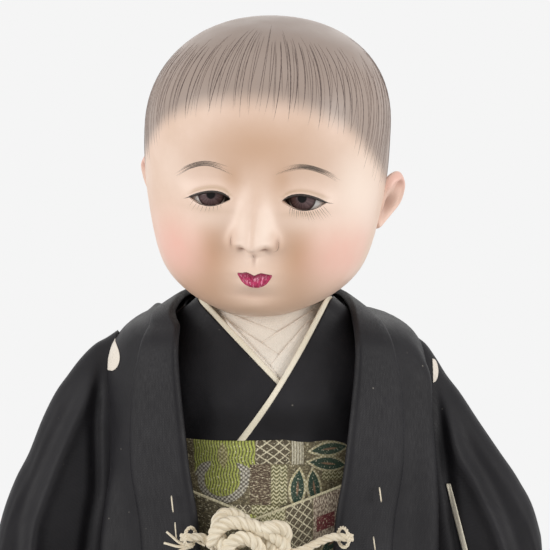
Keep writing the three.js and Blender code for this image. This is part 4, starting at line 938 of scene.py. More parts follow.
def eye_edge(side):
    """The eye's opening as x from the face's middle and height: along the upper lid, back along the lower."""
    share = np.linspace(0, 1, EYE_EDGE_POINTS // 2)
    lower, upper = eye_lids(side, share)
    x = side * (EYE_INNER + EYE_LENGTH * share)
    return np.concatenate([np.stack([x, upper], -1), np.stack([x, lower], -1)[::-1][1:-1]])


def in_eye(side, x, z):
    share = (side * x - EYE_INNER) / EYE_LENGTH
    if not 0 < share < 1:
        return False
    lower, upper = eye_lids(side, share)
    return lower < z < upper


def head_grid(u, v):
    """The head's skin, with close rows and columns at the face, made so that lay_grid leaves it in mm."""
    way = 2 * u - 1
    angle = np.sign(way) * np.interp(np.abs(way), [0, 0.52, 1], [0, 0.72, math.pi])
    low = -36 - 10 * np.sin(np.clip((0.1 - v) / 0.1, 0, 1) * np.pi / 2) ** 0.8
    high = 4 + 46.5 * np.sin(np.clip((v - 0.66) / 0.34, 0, 1) * np.pi / 2) ** 0.9
    z = np.where(v < 0.1, low, np.where(v > 0.66, high, -36 + 40 * (v - 0.1) / 0.56))
    return np.stack(head_form(angle, z)) / MM


def grow_rim(shape, rim, kind):
    """Draw a rim of edges out into a new row; gives what was made of one kind."""
    made = bmesh.ops.extrude_edge_only(shape, edges=rim)["geom"]
    return [item for item in made if isinstance(item, kind)]


def open_eye(shape, side):
    """Cut an eye's opening, turn its rim in and close it behind with a pocket."""
    inside = [vert for vert in shape.verts
              if vert.co.y < -20 and in_eye(side, vert.co.x - FACE_SIDE, vert.co.z)]
    bmesh.ops.delete(shape, geom=inside, context="VERTS")
    rim = [edge for edge in shape.edges if edge.is_boundary and (edge.verts[0].co.x - FACE_SIDE) * side > 0]
    x, z = eye_edge(side).T
    spots = np.stack(head_form(face_angle(x + FACE_SIDE, z), z), -1)
    for vert in {vert for edge in rim for vert in edge.verts}:
        near = np.argmin(np.hypot(spots[:, 0] - vert.co.x, spots[:, 2] - vert.co.z))
        vert.co = Vector(spots[near])
    middle = Vector(EYE_CENTRE[side])
    for step, spread in EYE_RIM_STEPS:
        rim = [edge for edge in grow_rim(shape, rim, bmesh.types.BMEdge) if edge.is_boundary]
        for vert in {vert for edge in rim for vert in edge.verts}:
            off = Vector((vert.co.x - middle.x, 0, vert.co.z - middle.z)).normalized()
            vert.co += Vector((0, step, 0)) + off * spread
    back = grow_rim(shape, rim, bmesh.types.BMVert)
    bmesh.ops.pointmerge(shape, verts=back, merge_co=middle + Vector((0, EYE_POCKET, 0)))


def face_marks(x, y, z):
    """Where the skin gets painted shade, painted highlights, blush, lid tint and painted shade in its
    hollows, and where hair shows.
    """
    face = x - FACE_SIDE
    side = np.abs(face)
    front = smooth(-y, 5, 20)
    above, lid = lid_line(side, z)
    # painted shade, kept to the front of the face
    painted_shade = mounds(PAINTED_SHADE_SIDES, side, z) + mounds(PAINTED_SHADE_SPOTS, face, z)
    # painted highlights, stronger on the doll's left side of the nose, and a painted highlight on the lid
    # just above its fold
    light = (np.where(face > 0, 0.7, 0.45) * mound(side, z, *NOSE_PAINTED_HIGHLIGHT)
             + mounds(PAINTED_HIGHLIGHT_SIDES, side, z) + mounds(PAINTED_HIGHLIGHT_SPOTS, face, z))
    light = np.maximum(np.minimum(light, 1), 0.45 * lid * hump(above, -0.95, 0.5))
    lined = 0.45 * lid * hump(above, 0, 0.5) + mounds(LOWER_LID_TINT, side, z)
    # painted shade in the nostrils, the nose wings' creases and the grooves
    dark = (mounds(NOSTRIL_SHADES, np.abs(face + 0.3), z) + mounds(NOSE_WING_SHADES, side, z) + mounds(GROOVE_SHADES, face, z))
    return {"painted_shade": front * np.minimum(painted_shade, 1), "light": front * light,
            "blush": front * np.where(face < 0, 1.0, 0.85) * mound(side, z, *BLUSH_SPOT),
            "lid": front * np.minimum(lined, 1), "hollow_shade": front * np.minimum(dark, 1),
            "hair": smooth(z - HAIRLINE(np.abs(np.arctan2(x, -y)))[0], -1.5, 7.0)}


def make_head_skin():
    shape = bmesh.new()
    lay_grid(shape, head_grid, 220, 190, (2 * math.pi, 1.0))
    bmesh.ops.remove_doubles(shape, verts=shape.verts[:], dist=2e-3)
    for side, _ in SIDES:
        open_eye(shape, side)
    mark_verts(shape, face_marks(*vert_places(shape)))
    move(shape, HEAD_PLACE)
    face_out(shape)
    make_piece("head_skin", shape, "painted_face", "head", ["face_shell", "skull_shell"])


EAR_PLACE = {1: (39.9, 7, -10.3), -1: (-38.6, 9, -9)}
EAR_HALF_DEPTH, EAR_HALF_WIDTH, EAR_HALF_HEIGHT = 2.4, 6.4, 10.6
EAR_RIM, EAR_BOWL, EAR_FOLD, LOBE_TUCK = 1.1, 2.6, 0.8, 1.7
EAR_LEAN = turned(-30, "Z") @ turned(17, "Y") @ turned(-6, "X")


def make_ear(side, name):
    """A ball pressed into an ear: a rolled rim round a bowl, with a fold and a lobe."""
    shape = bmesh.new()
    bmesh.ops.create_uvsphere(shape, u_segments=64, v_segments=48, radius=1.0)
    out, back, up = vert_places(shape)
    face = smooth(out, 0.0, 0.25)
    rim = hump(np.hypot(back, up), 0.84, 0.12) * smooth(back + 0.9 * np.maximum(up, 0), -0.55, -0.1)
    bowl = mound(back, up, -0.1, -0.12, 0.38, 0.42) + 0.5 * mound(back, up, 0.2, 0.55, 0.2, 0.3)
    fold = mound(back, up, 0.32, 0.1, 0.15, 0.45) + 0.6 * mound(back, up, -0.62, -0.15, 0.14, 0.2)
    lobe = smooth(-up, -0.1, 0.9)
    # besides the ear's pink blush, painted shade in the bowl and a painted highlight along the rim
    mark_verts(shape, {"blush": 0.35 + 0.5 * smooth(up, 0.2, 0.9) * face,
                       "hollow_shade": 0.6 * face * np.minimum(bowl, 1), "light": 0.4 * face * rim})
    depth = EAR_HALF_DEPTH * out + face * (EAR_RIM * rim - EAR_BOWL * bowl + EAR_FOLD * fold)
    broad = EAR_HALF_WIDTH * back * (1 + 0.16 * up - 0.5 * lobe) - LOBE_TUCK * lobe
    for vert, point in zip(shape.verts, np.stack([depth, broad, EAR_HALF_HEIGHT * up], -1)):
        vert.co = Vector(point)
    move(shape, EAR_LEAN)
    if side < 0:
        mirror(shape)
    move(shape, HEAD_PLACE @ Matrix.Translation(EAR_PLACE[side]))
    face_out(shape)
    make_piece(f"ear_{name}", shape, "painted_face", "head")


def make_neck():
    shape = bmesh.new()
    rows = range(len(NECK_PROFILE))

    def post(u, v):
        radius, height = [np.interp(v * rows[-1], rows, column) for column in zip(*NECK_PROFILE)]
        return radius * np.sin(2 * np.pi * u), 4 - radius * np.cos(2 * np.pi * u), height
    lay_grid(shape, post, 40, 4 * rows[-1], (0.078, 0.024), joined=True)
    make_piece("neck", shape, "gofun_skin", "head", ["neck_post"], rounding=1)


def make_head():
    make_head_skin()
    for side, name in SIDES:
        make_ear(side, name)
    make_neck()


def make_eyes(sizes):
    iris = sizes.iris_diameter / MM / 2
    for side, name in SIDES:
        shape = bmesh.new()
        shape.loops.layers.uv.new(FLAT_MAP)
        bmesh.ops.create_uvsphere(shape, u_segments=64, v_segments=48, radius=EYE_RADIUS, calc_uvs=True)
        bend = np.array([vert.co.angle(Vector((0, 0, 1))) for vert in shape.verts])
        mark_verts(shape, {"gaze": bend * EYE_RADIUS * IRIS_RING / iris})
        for vert, swell in zip(shape.verts, 1 + 0.05 * smooth(0.62 - bend, 0, 0.5)):
            vert.co *= swell
        move(shape, turned(-2.5 * side, "Z") @ turned(83, "X"))
        x, _, z = vert_places(shape)
        # painted shade in the inner and outer corners and under the upper lid
        shades = (smooth(-side * x, 3.6, 4.8), 0.6 * smooth(side * x, 5.8, 7.4), 0.75 * smooth(z, 1.2, 3.2))
        mark_verts(shape, {"corner": np.maximum.reduce(shades)})
        move(shape, HEAD_PLACE @ Matrix.Translation(EYE_CENTRE[side]))
        make_piece(f"{name}_eye", shape, "eye_glass", "head", [f"{name}_glass_eye"])


# Brush strokes

BROWS = (((-26.6, 2.2), (-14.4, 8.3), (-4.4, 5.8)), ((29.6, 2.4), (15.8, 8.8), (5.2, 5.9)))
NOSE_LINES = (((-5.4, -13.7), (-5.8, -15.9), (-5.3, -17.8)),
              ((9.4, -14.4), (9.9, -16.6), (9.2, -18.6), (7.7, -19.3)),
              ((1.6, -19.8), (1.7, -21.5), (1.9, -23.2)))
LID_TAIL = {1: (24.6, -4.0), -1: (-24.6, -4.4)}
HAIR_POINTS = 19
HAIR_FRONT, HAIR_FINE, HAIR_BACK = 1.32, 1.4, 1.55  # half the angle that each kind of stroke covers
LASHES = {1: 17, -1: 9}
LASH_SCALE = {1: 1.3, -1: 0.9}
LASH_WIDTH = {1: 0.11, -1: 0.08}
LIP_HALF_WIDTH, LIP_MIDDLE, LIP_LIFT = 5.8, 2.2, 0.12
UPPER_LIP = table([(-5.8, -26.4), (-4.4, -26.25), (-2.5, -25.9), (-1.2, -26.3), (0, -26.8), (1.0, -26.3),
                   (2.0, -25.95), (3.8, -26.3), (5.8, -26.8)])
LOWER_LIP = table([(-5.8, -26.7), (-4.4, -29.1), (-2.9, -30.4), (-1.3, -31.1), (0.6, -31.4), (2.4, -31.0),
                   (4.1, -29.8), (5.0, -28.5), (5.8, -27.0)])


def lay_stroke(shape, angle, z, width, height=0.07):
    """A brush stroke that lies on the skin and thins out at its ends."""
    spot, out = skin(angle, z)
    across = unit(np.cross(out, np.gradient(spot, axis=0))) * width[:, None]
    rise = height * np.clip(width / max(width.max(), 1e-6), 0, 1)
    corners = np.stack([spot + across - out * 0.04, spot + out * rise[:, None], spot - across - out * 0.04])
    last = len(spot) - 1

    def surface(u, v):
        row = np.rint(v * last).astype(int)
        which = np.rint(u * 3).astype(int) % 3
        end = (row == 0) | (row == last)
        return np.where(end[:, None], spot[row], corners[which, row]).T / MM
    lay_grid(shape, surface, 3, last, (0.001, last * 0.001), joined=True)


def lay_face_stroke(shape, x, z, width, height):
    """A stroke along points of the face, given from the head's middle."""
    lay_stroke(shape, face_angle(x, z), z, width, height)


def taper(count, width, start, end):
    """Widths of a stroke that swells from its start and thins to its end."""
    share = np.linspace(0, 1, count)
    return width * np.clip(np.minimum(share / start, (1 - share) / end), 0, 1) ** 0.7


def make_hair(chance, strong):
    """Strong strokes across the brow, finer ones between them and short ones round the back."""
    shape = bmesh.new()

    def stroke(angle, width, top, tip):
        drift = chance.uniform(-0.05, 0.05)
        share = np.linspace(0, 1, HAIR_POINTS)
        foot = float(HAIRLINE(abs(angle))[0]) - tip
        z = foot + (top - foot) * np.cos(share * np.pi / 2) ** 1.2
        lean = 1 + 0.3 * (1 - share) if abs(angle) < 1.45 else 1.0
        sway = drift * share**2 * np.sign(angle or 1)
        lay_stroke(shape, angle * lean + sway, z, taper(HAIR_POINTS, width, 0.3, 0.3))
    for number in range(strong):
        angle = -HAIR_FRONT + 2 * HAIR_FRONT * (number + 0.5) / strong + chance.uniform(-0.008, 0.008)
        middle = 1 - 0.35 * abs(angle) / 1.3
        stroke(angle, chance.uniform(0.16, 0.42) * middle, chance.uniform(46, 50.2) - 8 * abs(angle) ** 1.5,
               chance.uniform(-1.5, 3.5))
    for number in range(strong * 2):
        angle = -HAIR_FINE + 2 * HAIR_FINE * (number + chance.random()) / (strong * 2)
        stroke(angle, chance.uniform(0.06, 0.14), chance.uniform(42, 50) - 7 * abs(angle) ** 1.5,
               chance.uniform(-5.0, 2.0))
    for number in range(strong * 4):
        angle = math.pi - HAIR_BACK + 2 * HAIR_BACK * (number + chance.random()) / (strong * 4)
        angle = angle - 2 * math.pi if angle > math.pi else angle
        stroke(angle, chance.uniform(0.08, 0.22), chance.uniform(34, 46), chance.uniform(-2.0, 4.0))
    move(shape, HEAD_PLACE)
    make_piece("hair_strokes", shape, "brush_ink", "head")


def lay_brow(shape, chance, strokes, outer, peak, inner):
    shoulder = ((outer[0] + peak[0]) / 2, (outer[1] + peak[1]) / 2 + 1.3)
    arch = smooth_line([outer, shoulder, peak, inner], 60)
    for number in range(strokes):
        start = chance.uniform(0.0, 0.3)
        end = chance.uniform(0.75, 1.0) if number % 3 == 0 else chance.uniform(0.45, 0.8)
        marks = np.linspace(start, end, 13)
        x, z = [np.interp(marks, np.linspace(0, 1, 60), column) for column in arch.T]
        z = z + chance.uniform(-1, 1) * np.clip(0.85 + 0.4 * ((marks - 0.4) / 0.4) ** 2, 0, 1.5)
        lay_face_stroke(shape, x, z, taper(13, chance.uniform(0.06, 0.12), 0.4, 0.5), 0.06)


def lay_lashes(shape, chance, side):
    edge = eye_edge(side)
    lower = edge[edge[:, 1] < EYE_LEVEL - EYE_DROOP * (side * edge[:, 0] - EYE_INNER) / EYE_LENGTH]
    lower = lower[np.argsort(side * lower[:, 0])]
    for number in range(LASHES[side]):
        share = 0.18 + 0.78 * (number + 0.5) / LASHES[side]
        at = lower[int(share * (len(lower) - 1))]
        length = chance.uniform(1.9, 3.0) * (0.75 + 0.5 * share) * LASH_SCALE[side]
        x = FACE_SIDE + at[0] + side * np.linspace(0, 1.2 * length * (share - 0.3), 7)
        z = at[1] - 0.2 - np.linspace(0, length, 7)
        lay_face_stroke(shape, x, z, taper(7, LASH_WIDTH[side], 0.15, 0.8), 0.06)


def make_thin_strokes(chance, brow_strokes):
    """Brows, lower lashes and the nose's fine lines."""
    shape = bmesh.new()
    for brow in BROWS:
        lay_brow(shape, chance, brow_strokes, *brow)
    for side, _ in SIDES:
        lay_lashes(shape, chance, side)
    for line in NOSE_LINES:
        x, z = smooth_line(line, 11).T
        lay_face_stroke(shape, x, z, taper(11, 0.2, 0.4, 0.4), 0.05)
    move(shape, HEAD_PLACE)
    make_piece("brow_and_lash_strokes", shape, "thin_ink", "head")


def make_lid_strokes():
    """A strong line along each upper lid, drawn out past its corner, and a thin one along the lower."""
    shape = bmesh.new()
    for side, _ in SIDES:
        edge = eye_edge(side)
        half = len(edge) // 2
        upper = edge[:half + 1]
        x, z = smooth_line(np.concatenate([upper[::8], upper[-1:], [LID_TAIL[side]]]), 30).T
        lay_face_stroke(shape, x + FACE_SIDE, z + 0.15, taper(30, 0.42, 0.2, 0.3), 0.1)
        lower = np.concatenate([edge[half - 1:half], edge[half:][::8], edge[:1]])
        x, z = smooth_line(lower, 26).T
        lay_face_stroke(shape, x + FACE_SIDE, z - 0.1, taper(26, 0.17, 0.3, 0.4), 0.05)
    move(shape, HEAD_PLACE)
    make_piece("lid_strokes", shape, "lid_ink", "head")


def make_strokes(sizes):
    chance = random.Random(4)
    make_hair(chance, sizes.hair_strokes)
    make_thin_strokes(chance, sizes.brow_strokes)
    make_lid_strokes()


def make_lips():
    shape = bmesh.new()

    def surface(u, v):
        x = -LIP_HALF_WIDTH + 2 * LIP_HALF_WIDTH * u
        top, foot = UPPER_LIP(x)[0], LOWER_LIP(x)[0]
        z = foot + (top - foot) * v
        spot, out = skin(face_angle(x + LIP_MIDDLE, z), z)
        edge = np.minimum(np.minimum(u, 1 - u) * 12, np.minimum(v, 1 - v) * 8)
        lift = LIP_LIFT * np.clip(edge, 0, 1) - 0.03
        return (spot + out * lift[:, None]).T / MM
    lay_grid(shape, surface, 48, 28, (0.0116, 0.010), joined=True)
    move(shape, HEAD_PLACE)
    make_piece("lips", shape, "painted_lips", "head", thickness=0.1)


# The arms and feet

ELBOW, WRIST = Vector((76, 1, 234)), Vector((90, -6, 203))
FINGER_REACH = {-4.2: 20.5, -1.4: 23.5, 1.4: 24.3, 4.2: 22.6}  # from the wrist, by place across the hand
UPPER_ARM = ((37.8, 4, 276), (46, 4, 276), (55, 4, 275.5), (60.5, 4, 267.5), (67, 3, 254), (73.5, 1.6, 239.5),
             (75.5, 1.1, 235))


def lay_hand(shape):
    """A left forearm, palm, fingers and thumb as bars that run into each other."""
    along = (WRIST - ELBOW).normalized()
    forward = Vector((0, -1, 0))
    thumb_way = (forward - along * along.dot(forward)).normalized()
    flat_way = along.cross(thumb_way)

    def at(reach, ahead=0.0, over=0.0):
        return tuple(WRIST + along * reach + thumb_way * ahead + flat_way * over)
    forearm = steps(24, [0, 0.05, 0.3, 0.7, 0.9, 1], [6.4, 7.4, 7.6, 6.6, 5.8, 5.6])
    lay_bar(shape, smooth_line([at(reach) for reach in (-34, -26, -14, -5, 0, 5)], 24), forearm, 24)
    finger = steps(14, [0, 0.6, 0.9, 1], [2.0, 1.85, 1.5, 0.7])
    for ahead, reach in FINGER_REACH.items():
        lay_bar(shape, smooth_line([at(-1, ahead * 0.6), at(5, ahead * 0.95), at(12, ahead)], 12), 3.1, 14)
        bend = [at(9, ahead), at(15, ahead * 1.02, -0.3), at(reach, ahead * 0.95, -1.8)]
        lay_bar(shape, smooth_line(bend, 14), finger, 12)
    thumb = [at(2, 4.5), at(7, 7.4, -0.8), at(13, 8.6, -2.0), at(15.5, 8.4, -2.4)]
    lay_bar(shape, smooth_line(thumb, 14), steps(14, [0, 0.7, 0.93, 1], [2.6, 2.1, 1.6, 0.8]), 12)


def fused(shape, name):
    """The shape's parts melted into one skin and smoothed."""
    rough = bpy.data.meshes.new(name)
    shape.to_mesh(rough)
    shape.free()
    holder = bpy.data.objects.new(name, rough)
    bpy.context.scene.collection.objects.link(holder)
    fuse = holder.modifiers.new("fuse", "REMESH")
    fuse.mode, fuse.voxel_size = "VOXEL", 0.0005
    shape = bmesh.new()
    shape.from_object(holder, bpy.context.evaluated_depsgraph_get())
    bpy.data.objects.remove(holder)
    bpy.data.meshes.remove(rough)
    for _ in range(5):
        bmesh.ops.smooth_vert(shape, verts=shape.verts[:], factor=0.5, use_axis_x=True, use_axis_y=True,
                              use_axis_z=True)
    return shape


def make_hand(side, name):
    shape = bmesh.new()
    lay_hand(shape)
    if side < 0:
        mirror(shape)
        flip(shape)
    shape = fused(shape, f"hand_{name}_rough")
    make_piece(f"hand_{name}", shape, "gofun_skin", f"{name}_forearm", [f"{name}_forearm"])


def make_cotton_arm(side, name):
    shape = bmesh.new()
    radius = steps(40, [0, 0.05, 0.3, 0.42, 0.7, 0.95, 1], [4.6, 5.4, 5.7, 5.8, 6.1, 5.8, 4.8])
    ripple = 1 + 0.02 * np.sin(np.linspace(0, 26, 40))
    line = smooth_line([(side * x, y, z) for x, y, z in UPPER_ARM], 40)
    lay_bar(shape, line, radius * ripple, 24, (0.038, 0.062))
    if side < 0:
        face_out(shape)
    arm = make_piece(f"cotton_arm_{name}", shape, "stuffed_cotton", f"{name}_arm", [f"{name}_upper_arm"])


def make_hands():
    for side, name in SIDES:
        make_hand(side, name)
        make_cotton_arm(side, name)


TABI_ROWS = table([(0, 0.6, 0.72), (0.1, 0.85, 0.95), (0.3, 0.93, 1.0), (0.5, 0.97, 0.8), (0.7, 1.0, 0.5),
                   (0.88, 0.95, 0.36), (1, 0.7, 0.26)])


def node_box(name):
    """The corners of a CAD node's box in mm."""
    return [Vector(corner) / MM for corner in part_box(name)]


def make_tabi():
    """Split-toed socks from heel to toe, with widths and heights as shares of the CAD's box."""
    for side, name in SIDES:
        low, high = node_box(f"{name}_tabi")
        shape = bmesh.new()
        middle, half = (low.x + high.x) / 2, (high.x - low.x) / 2

        def surface(u, v):
            share = np.clip((v - 0.06) / 0.88, 0, 1)
            close = np.where((v < 0.05) | (v > 0.95), 0.0, 1.0)
            wide, tall = TABI_ROWS(share)
            turn = -2 * np.pi * u
            split = hump(np.sin(turn) * side, -0.25, 0.12) * (np.cos(turn) > 0)
            cut = 1 - 0.45 * smooth(share, 0.72, 0.9) * split
            boxy = np.where(np.cos(turn) < 0, 0.32, 0.8)
            x = middle + half * wide * close * power(np.sin(turn), boxy)
            z = low.z + (high.z - low.z) * tall * close * (1 + power(np.cos(turn), 0.9 * boxy)) / 2 * cut
            return x, high.y + (low.y - high.y) * share, z
        lay_grid(shape, surface, 56, 60, (0.07, 0.06), joined=True)
        face_out(shape)
        make_piece(f"{name}_foot", shape, "tabi_cotton", "torso", [f"{name}_tabi"])


# The dress

TORSO = table([(160, 36, 24, 2), (175, 37, 26, 2), (195, 36.5, 27, 1), (220, 34.5, 26, 1), (245, 34.5, 25, 2),
               (265, 36, 24, 3), (280, 37, 21, 4), (290, 31, 17, 4), (296, 20, 14, 4), (298, 16.5, 12.5, 4)])
CHEST = table([(255, 40, 27.8, 2.6), (266, 40.2, 26.4, 3), (275, 40.5, 24.8, 3.5), (283, 39, 22.6, 4),
               (290, 34, 20.3, 4), (296, 28, 18.6, 4), (302, 24.5, 17.2, 4), (309, 23.5, 16.4, 4)])
COAT = table([(0, 28, 31, 4, 3), (2, 31.5, 32.5, 4, 3), (4.5, 38.5, 34, 4, 2.5), (9, 46.5, 36, 3.5, 1.6),
              (14.5, 51.5, 37.5, 3, 0.8), (20, 53.6, 38.5, 3, 0.3), (38, 53.6, 40.5, 2, 0),
              (75, 53.6, 43, 2, 0), (125, 53.6, 48, 2, 0), (180, 53.6, 52, 2, 0)])
BODY_CURVE = 2.2
COAT_TOP, COAT_LENGTH = 306, 180
COAT_CURVE = 0.8


def around(u):
    """The angle round the body, 0 at the front, for a share of the way from the back."""
    return 2 * np.pi * u - np.pi


def torso_point(angle, z, ease):
    half_width, half_depth, middle = TORSO(z)
    return ((half_width + ease) * power(np.sin(angle), 2 / BODY_CURVE),
            middle - (half_depth + ease) * power(np.cos(angle), 2 / BODY_CURVE),
            z + ease * smooth(z, 281, 293))


def chest_y(x, z, lift):
    half_width, half_depth, middle = CHEST(z)
    share = np.clip(np.abs(x) / (half_width + lift), 0, 0.995)
    return middle - (half_depth + lift) * (1 - share**BODY_CURVE) ** (1 / BODY_CURVE)


def coat_point(angle, drop, lift=0.0):
    """A spot of the coat's cloth at an angle round it and a drop from its top."""
    half_width, half_depth, middle, fall = COAT(drop)
    back = np.abs(np.abs(angle) - np.pi)
    fold = 2.2 * smooth(drop, 45, 120) * np.cos(11 * angle) * (0.4 + 0.6 * np.abs(np.cos(angle)))
    fold = fold - 0.55 * hump(back, 0, 0.012) + 1.0 * smooth(drop, 12, 50) * hump(back, 0.62, 0.12)
    x = (half_width + lift) * power(np.sin(angle), COAT_CURVE)
    y = middle - (half_depth + lift + fold) * power(np.cos(angle), COAT_CURVE)
    return x, y, COAT_TOP - drop - fall * np.cos(angle) + lift * smooth(20 - drop, 0, 20)


def coat_angle(x, drop):
    return np.arcsin(np.clip(np.abs(x) / COAT(drop)[0], 0, 0.999) ** (1 / COAT_CURVE)) * np.sign(x)


def on_coat(x, z, lift):
    """A spot on the front of the coat."""
    drop = COAT_TOP - z
    return coat_point(coat_angle(x, drop), drop, lift)


KIMONO_FOOT, KIMONO_HEIGHT, KIMONO_EASE = 197, 99, 1.9


def make_kimono():
    shape = bmesh.new()

    def surface(u, v):
        return torso_point(around(u), KIMONO_FOOT + KIMONO_HEIGHT * v, KIMONO_EASE)
    lay_grid(shape, surface, 128, 60, (0.22, 0.1), joined=True)
    body = make_piece("kimono_cloth", shape, "black_silk", "torso", ["kimono_body"], thickness=0.8)


LEFT, RIGHT = 1, -1
WHITE_WIDTH, CREAM_WIDTH, NARROW = 10.0, 2.1, 12
# White bands: mark, side, top, foot and how far they lie off the chest
WHITE_BANDS = (
    ("a", RIGHT, (-18.6, 305.2), (8.0, 298.0), 0.3), ("b", LEFT, (18.3, 305.2), (-8.0, 300.2), 0.95),
    ("c", RIGHT, (-14.6, 302.7), (5.0, 295.6), 1.6), ("d", LEFT, (14.6, 302.7), (-3.6, 291.6), 2.25),
    ("e", RIGHT, (-13.2, 299.6), (5.7, 287.8), 2.9), ("f", LEFT, (13.2, 299.0), (-0.5, 283.6), 3.55),
    ("g", RIGHT, (-12.4, 299.2), (4.0, 282.0), 4.2))
# Black collars: side, name, top, foot, lift, bow, how far they run on, width, flat width and shoulder
BLACK_COLLARS = ((RIGHT, "right", (-20.9, 306.2), (5.0, 279.9), 4.9, 0.0, 22, 44.0, 0.036, (16.7, 21.8)),
                 (LEFT, "left", (18.7, 305.7), (-9.8, 260.6), 6.5, 1.6, 2, 34.0, 0.03, (11.3, 9.9)))
BAND_POINTS = 70
NAPE_Y, NAPE_Z, NECK_Z = 19.5, 305.5, 305.6
NECK_BACK, NECK_SIDE = (12, 16.8), (19.8, 6)  # x and y of a collar's way round the neck


def collar_line(side, top, foot, outward, part, width, lift, back, bow, shoulder):
    """One line of a collar, at a part of its width, from the nape over the shoulder to the foot."""
    wide, fall = width * part, min(width, 20) * part
    grow, sink = back + 0.55 * fall, 0.72 * fall
    line = [(0, NAPE_Y + grow, NAPE_Z - sink),
            (side * (NECK_BACK[0] + 0.6 * grow), NECK_BACK[1] + 0.9 * grow, NECK_Z - sink),
            (side * (NECK_SIDE[0] + grow), NECK_SIDE[1] + 0.3 * grow, NECK_Z - sink)]
    for share in np.linspace(0, 1, 7):
        x = top[0] + (foot[0] - top[0]) * share + outward[0] * wide + side * bow * math.sin(math.pi * share)
        z = top[1] + (foot[1] - top[1]) * share + outward[1] * wide
        x -= side * shoulder[0] * part * (1 - share) ** 2
        z = min(z + shoulder[1] * part * (1 - share) ** 2, 301.3 + 0.02 * x * x)
        settle = 0.12 + 0.88 * float(smooth(z, 260, 275))
        line.append((x, float(chest_y(x, z, lift * settle)), z))
    return smooth_line(line, BAND_POINTS)


def collar_ways(side, top, foot):
    """The direction down a collar's edge, and the one across it away from the neck."""
    along = unit(np.array([foot[0] - top[0], foot[1] - top[1]], float))
    return along, np.array([side * abs(along[1]), -abs(along[0])])


def collar_band(name, finish_name, side, top, foot, width, lift, stands_for=(), back=0.0, thickness=0.5,
                bow=0.0, shoulder=(0.0, 0.0)):
    """One collar from the back of the neck, over the shoulder and down the front to its foot."""
    shape = bmesh.new()
    narrow = width < NARROW
    _, outward = collar_ways(side, top, foot)
    lines = np.stack([collar_line(side, top, foot, outward, part, width, lift, back, bow, shoulder)
                      for part in np.linspace(0, 1, 2 if narrow else 10)])

    def surface(u, v):
        row = np.rint(u * (BAND_POINTS - 1)).astype(int)
        level = v * (len(lines) - 1)
        under = np.clip(level.astype(int), 0, len(lines) - 2)
        share = (level - under)[:, None]
        x, y, z = (lines[under, row] * (1 - share) + lines[under + 1, row] * share).T
        puff = (0.5 if narrow else 0.15) * np.sin(np.pi * np.clip(v, 0, 1)) ** 0.6
        return x, y - puff * smooth(u, 0.25, 0.45), z
    lay_grid(shape, surface, BAND_POINTS - 1, 12 if narrow else 27, (0.1, width * MM))
    if side > 0:
        flip(shape)
    return make_piece(name, shape, finish_name, "torso", stands_for, thickness=thickness, rounding=1)


def make_collars():
    folds = {LEFT: [], RIGHT: []}
    names = dict(SIDES)
    for mark, side, top, foot, lift in WHITE_BANDS:
        name = names[side]
        stands = [f"white_collar_{name}"] if mark in "ab" else ()
        band = collar_band(f"under_collar_{name}_{mark}", "white_silk", side, top, foot, WHITE_WIDTH, lift,
                           stands, 0.0, 0.7)
        folds[side].append(band)
    for side, name, top, foot, lift, bow, run_on, width, flat, shoulder in BLACK_COLLARS:
        along, outward = collar_ways(side, top, foot)
        edge = collar_band(f"cream_edge_{name}", "cream_silk", side, top, np.array(foot) + along * 2,
                           CREAM_WIDTH, lift, [f"cream_collar_edge_{name}"], 1.0, 0.5, bow)
        shift = outward * 1.5
        reach = np.array(foot) + along * run_on
        black = collar_band(f"kimono_collar_cloth_{name}", "black_silk", side, np.array(top) + shift,
                            reach + shift, width, lift + 0.5, [f"kimono_collar_{name}"], 1.6, 0.8, bow,
                            shoulder)


SASH_FOOT, SASH_HEIGHT, SASH_EASE = 236.0, 25.0, 4.7
TIE_TOP = {LEFT: 247.6, RIGHT: 245.2}
TIE_START, TIE_RUN, TIE_FALL, TIE_WIDTH = 27.0, 44.0, 14.5, 15.5
TIE_LEVEL, TIE_EASE, TIE_LAYER = 238.0, 7.4, 1.6
TIE_PATTERN = {LEFT: (0.026, 1.0), RIGHT: (-0.0405, 0.7)}  # where the woven pattern starts, and its stretch


def make_sash_cloth():
    shape = bmesh.new()

    def surface(u, v):
        z = SASH_FOOT + SASH_HEIGHT * v
        angle = around(u)
        roll = 0.8 * (1 - np.abs(2 * v - 1) ** 6)
        x, y, _ = torso_point(angle, z, SASH_EASE + roll + 0.35 * np.sin(3 * angle + 9 * v))
        return x, y, z + 0.3 * np.sin(4 * angle)
    lay_grid(shape, surface, 160, 40, (0.244, 0.027), joined=True)
    move_flat_map(shape, -0.122, -0.0135)
    sash = make_piece("sash_cloth", shape, "brocade", "torso", ["sash"], thickness=1.2)


def make_tie(side, name, layer):
    """One of the hakama's ties, which cross over the sash in two layers."""
    shape = bmesh.new()

    def surface(u, v):
        x = side * (TIE_START - TIE_RUN * u)
        top = TIE_TOP[side] - TIE_FALL * np.clip(u, 0, 0.85) - 2.5 * u**2
        z = top - TIE_WIDTH * (1 - v)
        angle = np.arcsin(np.clip(np.abs(x) / (34.5 + 7.0), 0, 0.999) ** 1.1) * np.sign(x)
        puff = 0.7 * np.sin(np.pi * v) ** 0.5
        x, y, _ = torso_point(angle, np.full_like(z, TIE_LEVEL), TIE_EASE + TIE_LAYER * layer + puff)
        return x, y, z
    lay_grid(shape, surface, 60, 16, (0.05, 0.0155))
    start, stretch = TIE_PATTERN[side]
    move_flat_map(shape, start, -0.0078, stretch)
    if side > 0:
        flip(shape)
    band = make_piece(f"hakama_tie_cloth_{name}", shape, "brocade", "torso", [f"hakama_tie_{name}"],
                      thickness=0.9, rounding=1)


def make_sash():
    make_sash_cloth()
    for layer, (side, name) in enumerate(reversed(SIDES)):
        make_tie(side, name, layer)


